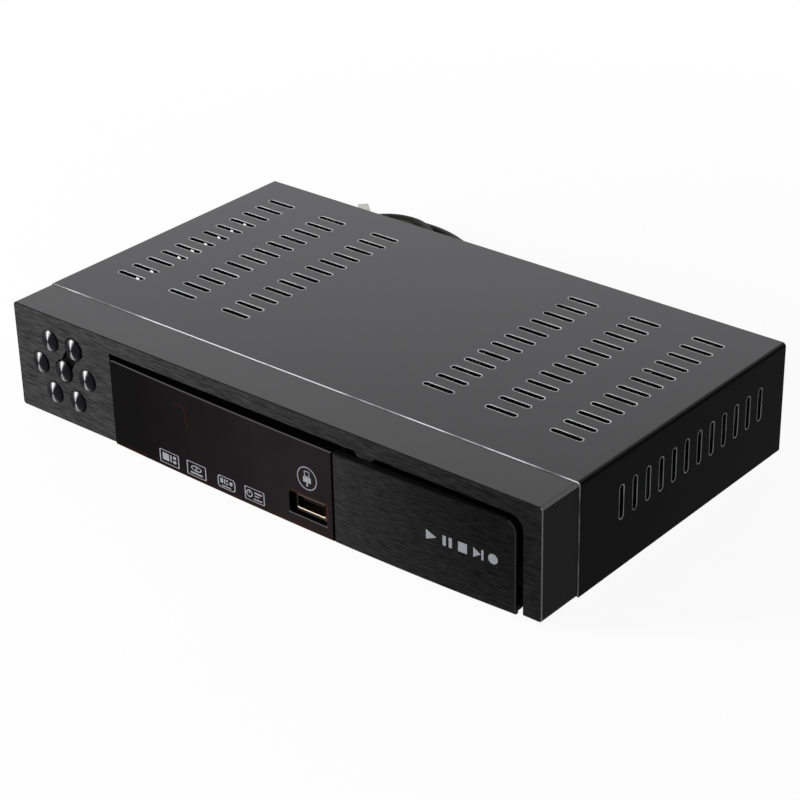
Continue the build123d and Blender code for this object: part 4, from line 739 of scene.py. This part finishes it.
def worn_rims_and_highlight_mask(tree):
    """Mask of the burred rims of the slots and of the sheet's cut front edge, where pale grey stands for bare
    steel and a painted highlight.
    """
    new, link, math = tree.nodes.new, tree.links.new, calculator(tree)
    where, place, facing = surface_axes(tree)
    x, y, z = place["X"], place["Y"], place["Z"]

    def off_row(value, first, pitch, count):
        """Distance to the nearest of count places that start at first, pitch apart."""
        steps = math("ROUND", math("DIVIDE", math("SUBTRACT", value, first * MM), pitch * MM))
        nearest = math("MULTIPLY", math("MINIMUM", math("MAXIMUM", steps, 0.0), count - 1.0), pitch * MM)
        return math("ABSOLUTE", math("SUBTRACT", math("SUBTRACT", value, first * MM), nearest))

    def near_slot(along, across, size):
        """1 within the rim's width of a slot's edge, from distances to its middle."""
        length, width = size
        past = math("MAXIMUM", math("SUBTRACT", along, (length - width) / 2 * MM), 0.0)
        away = math("SQRT", math("ADD", math("MULTIPLY", past, past), math("MULTIPLY", across, across)))
        return math("LESS_THAN", away, (width / 2 + slot_rim) * MM)

    def blotches(scale, detail, *spans):
        """Noise of this scale and detail, its values moved from one span to the other."""
        noise, spread = new("ShaderNodeTexNoise"), new("ShaderNodeMapRange")
        noise.inputs["Scale"].default_value, noise.inputs["Detail"].default_value = scale, detail
        link(where.outputs["Object"], noise.inputs["Vector"])
        link(noise.outputs["Fac"], spread.inputs["Value"])
        for side, (least, most) in zip(("From", "To"), spans):
            spread.inputs[side + " Min"].default_value = least
            spread.inputs[side + " Max"].default_value = most
        return spread.outputs[0]

    from_middle = math("ABSOLUTE", math("SUBTRACT", x, column_middle * MM))
    rims = near_slot(off_row(from_middle, column_first, column_pitch, column_count),
                     off_row(y, column_y, slot_pitch, slot_count), slot_size)
    rims = math("MULTIPLY", rims, math("GREATER_THAN", facing["Z"], 0.2))
    for sign, first_y in zip((-1.0, 1.0), side_slot_y):
        up = math("ABSOLUTE", math("SUBTRACT", z, side_slot_z * MM))
        side = near_slot(up, off_row(y, first_y, slot_pitch, slot_count), side_slot_size)
        outwards = math("GREATER_THAN", math("MULTIPLY", facing["X"], sign), 0.2)
        rims = math("MAXIMUM", rims, math("MULTIPLY", side, math("MULTIPLY", outwards, side_rim_share)))
    cut = math("MULTIPLY", math("LESS_THAN", facing["Y"], -0.93), math("LESS_THAN", y, cover_front_y))
    cut = math("MULTIPLY", cut, blotches(28.0, 2.0, (0.4, 0.65), (0.35, 2.2)))
    return math("MULTIPLY", math("MAXIMUM", rims, cut), blotches(130.0, 4.0, (0.3, 0.65), (0.45, 1.0)))


cover_paint = finish_of("cover_paint", (0.0025, 0.0025, 0.0032), 0.30, shade=0.1, rough_range=0.05,
                        stretch=2400, depth=0.000004)
tree = cover_paint.node_tree
# The rims and the cut front edge turn pale grey, partly bare steel and partly a painted highlight.
paint_over(cover_paint, worn_rims_and_highlight_mask(tree), worn_and_highlight_grey)
math = calculator(tree)
facing = surface_axes(tree)[2]
gloss = math("MULTIPLY", math("GREATER_THAN", facing["Z"], 0.7), level_paint_gloss)
gloss = math("ADD", gloss, paint_gloss)
tree.links.new(gloss, tree.nodes["Principled BSDF"].inputs["Specular IOR Level"])
dress(cover_paint, "steel_cover")
dress(finish_of("screw_steel", (0.45, 0.45, 0.45), 0.3, Metallic=1.0, stretch=600), "cover_screws")


# ---------------------------------------------------------------- table and light
# A white table without an edge. A large soft lamp low behind the left corner is mirrored in the
# cover's paint, a smaller one to the left lights the brushed front, and the room adds a little.
def white_backdrop(tree, lit, out, seen_share=1.0):
    """White in gloss and glass, white to the camera by seen_share, and lit as itself for all else."""
    path, mix = tree.nodes.new("ShaderNodeLightPath"), tree.nodes.new("ShaderNodeMixShader")
    white = tree.nodes.new("ShaderNodeBackground" if lit.type == "BACKGROUND" else "ShaderNodeEmission")
    white.inputs["Color"].default_value = (1, 1, 1, 1)
    white.inputs["Strength"].default_value = 1.0
    math = calculator(tree)
    seen = math("MULTIPLY", path.outputs["Is Camera Ray"], seen_share)
    gloss = math("MAXIMUM", path.outputs["Is Glossy Ray"], path.outputs["Is Transmission Ray"])
    tree.links.new(math("MAXIMUM", seen, gloss), mix.inputs[0])
    tree.links.new(lit.outputs[0], mix.inputs[1])
    tree.links.new(white.outputs[0], mix.inputs[2])
    tree.links.new(mix.outputs[0], out.inputs["Surface"])


room = bpy.data.worlds.new("room")
room.use_nodes = True
room_strength, table_r = 0.25, 6.0
near_share, near_reach = (0.93, 1.0), (0.18, 0.5)     # of white, from near the object outwards
room_light = room.node_tree.nodes["Background"]
room_light.inputs["Color"].default_value = (1, 1, 1, 1)
room_light.inputs["Strength"].default_value = room_strength
white_backdrop(room.node_tree, room_light, room.node_tree.nodes["World Output"])
scene.world = room

table_mesh = bmesh.new()
bmesh.ops.create_circle(table_mesh, cap_ends=True, segments=96, radius=table_r)
table_data = bpy.data.meshes.new("table")
table_mesh.to_mesh(table_data)
table_mesh.free()
table = bpy.data.objects.new("table", table_data)
scene.collection.objects.link(table)
table_white = bpy.data.materials.new("table_white")
table_white.use_nodes = True
tree = table_white.node_tree
paper = tree.nodes["Principled BSDF"]
paper.inputs["Base Color"].default_value = (0.85, 0.85, 0.85, 1)
paper.inputs["Roughness"].default_value = 0.9
paper.inputs["Specular IOR Level"].default_value = 0.0
where, away, reach = (tree.nodes.new("ShaderNode" + kind) for kind in ("TexCoord", "VectorMath", "MapRange"))
away.operation = "LENGTH"
tree.links.new(where.outputs["Object"], away.inputs[0])
tree.links.new(away.outputs["Value"], reach.inputs["Value"])
reach.inputs["From Min"].default_value, reach.inputs["From Max"].default_value = near_reach
reach.inputs["To Min"].default_value, reach.inputs["To Max"].default_value = near_share
white_backdrop(tree, paper, tree.nodes["Material Output"], reach.outputs[0])
table_data.materials.append(table_white)


def soft_lamp(name, place, target, width, height, radiance, colour=(1, 1, 1)):
    """A rectangular lamp that faces the target; radiance 1 would look as bright as white paper."""
    data = bpy.data.lights.new(name, "AREA")
    data.shape = "RECTANGLE"
    data.size, data.size_y = width, height
    data.energy = radiance * pi * width * height
    data.color = colour
    lamp = bpy.data.objects.new(name, data)
    lamp.location = place
    lamp.rotation_mode = "QUATERNION"
    lamp.rotation_quaternion = (Vector(place) - Vector(target)).to_track_quat("Z", "Y")
    scene.collection.objects.link(lamp)


soft_lamp("back_softbox", place=(-0.74, 1.08, 0.74), target=(0, 0, 0.03), width=1.4, height=0.8,
          radiance=1.62, colour=(0.98, 0.965, 1.01))
soft_lamp("left_softbox", place=(-0.93, -0.975, 0.38), target=(-0.05, -0.08, 0.03), width=0.60, height=0.7,
          radiance=32.0)
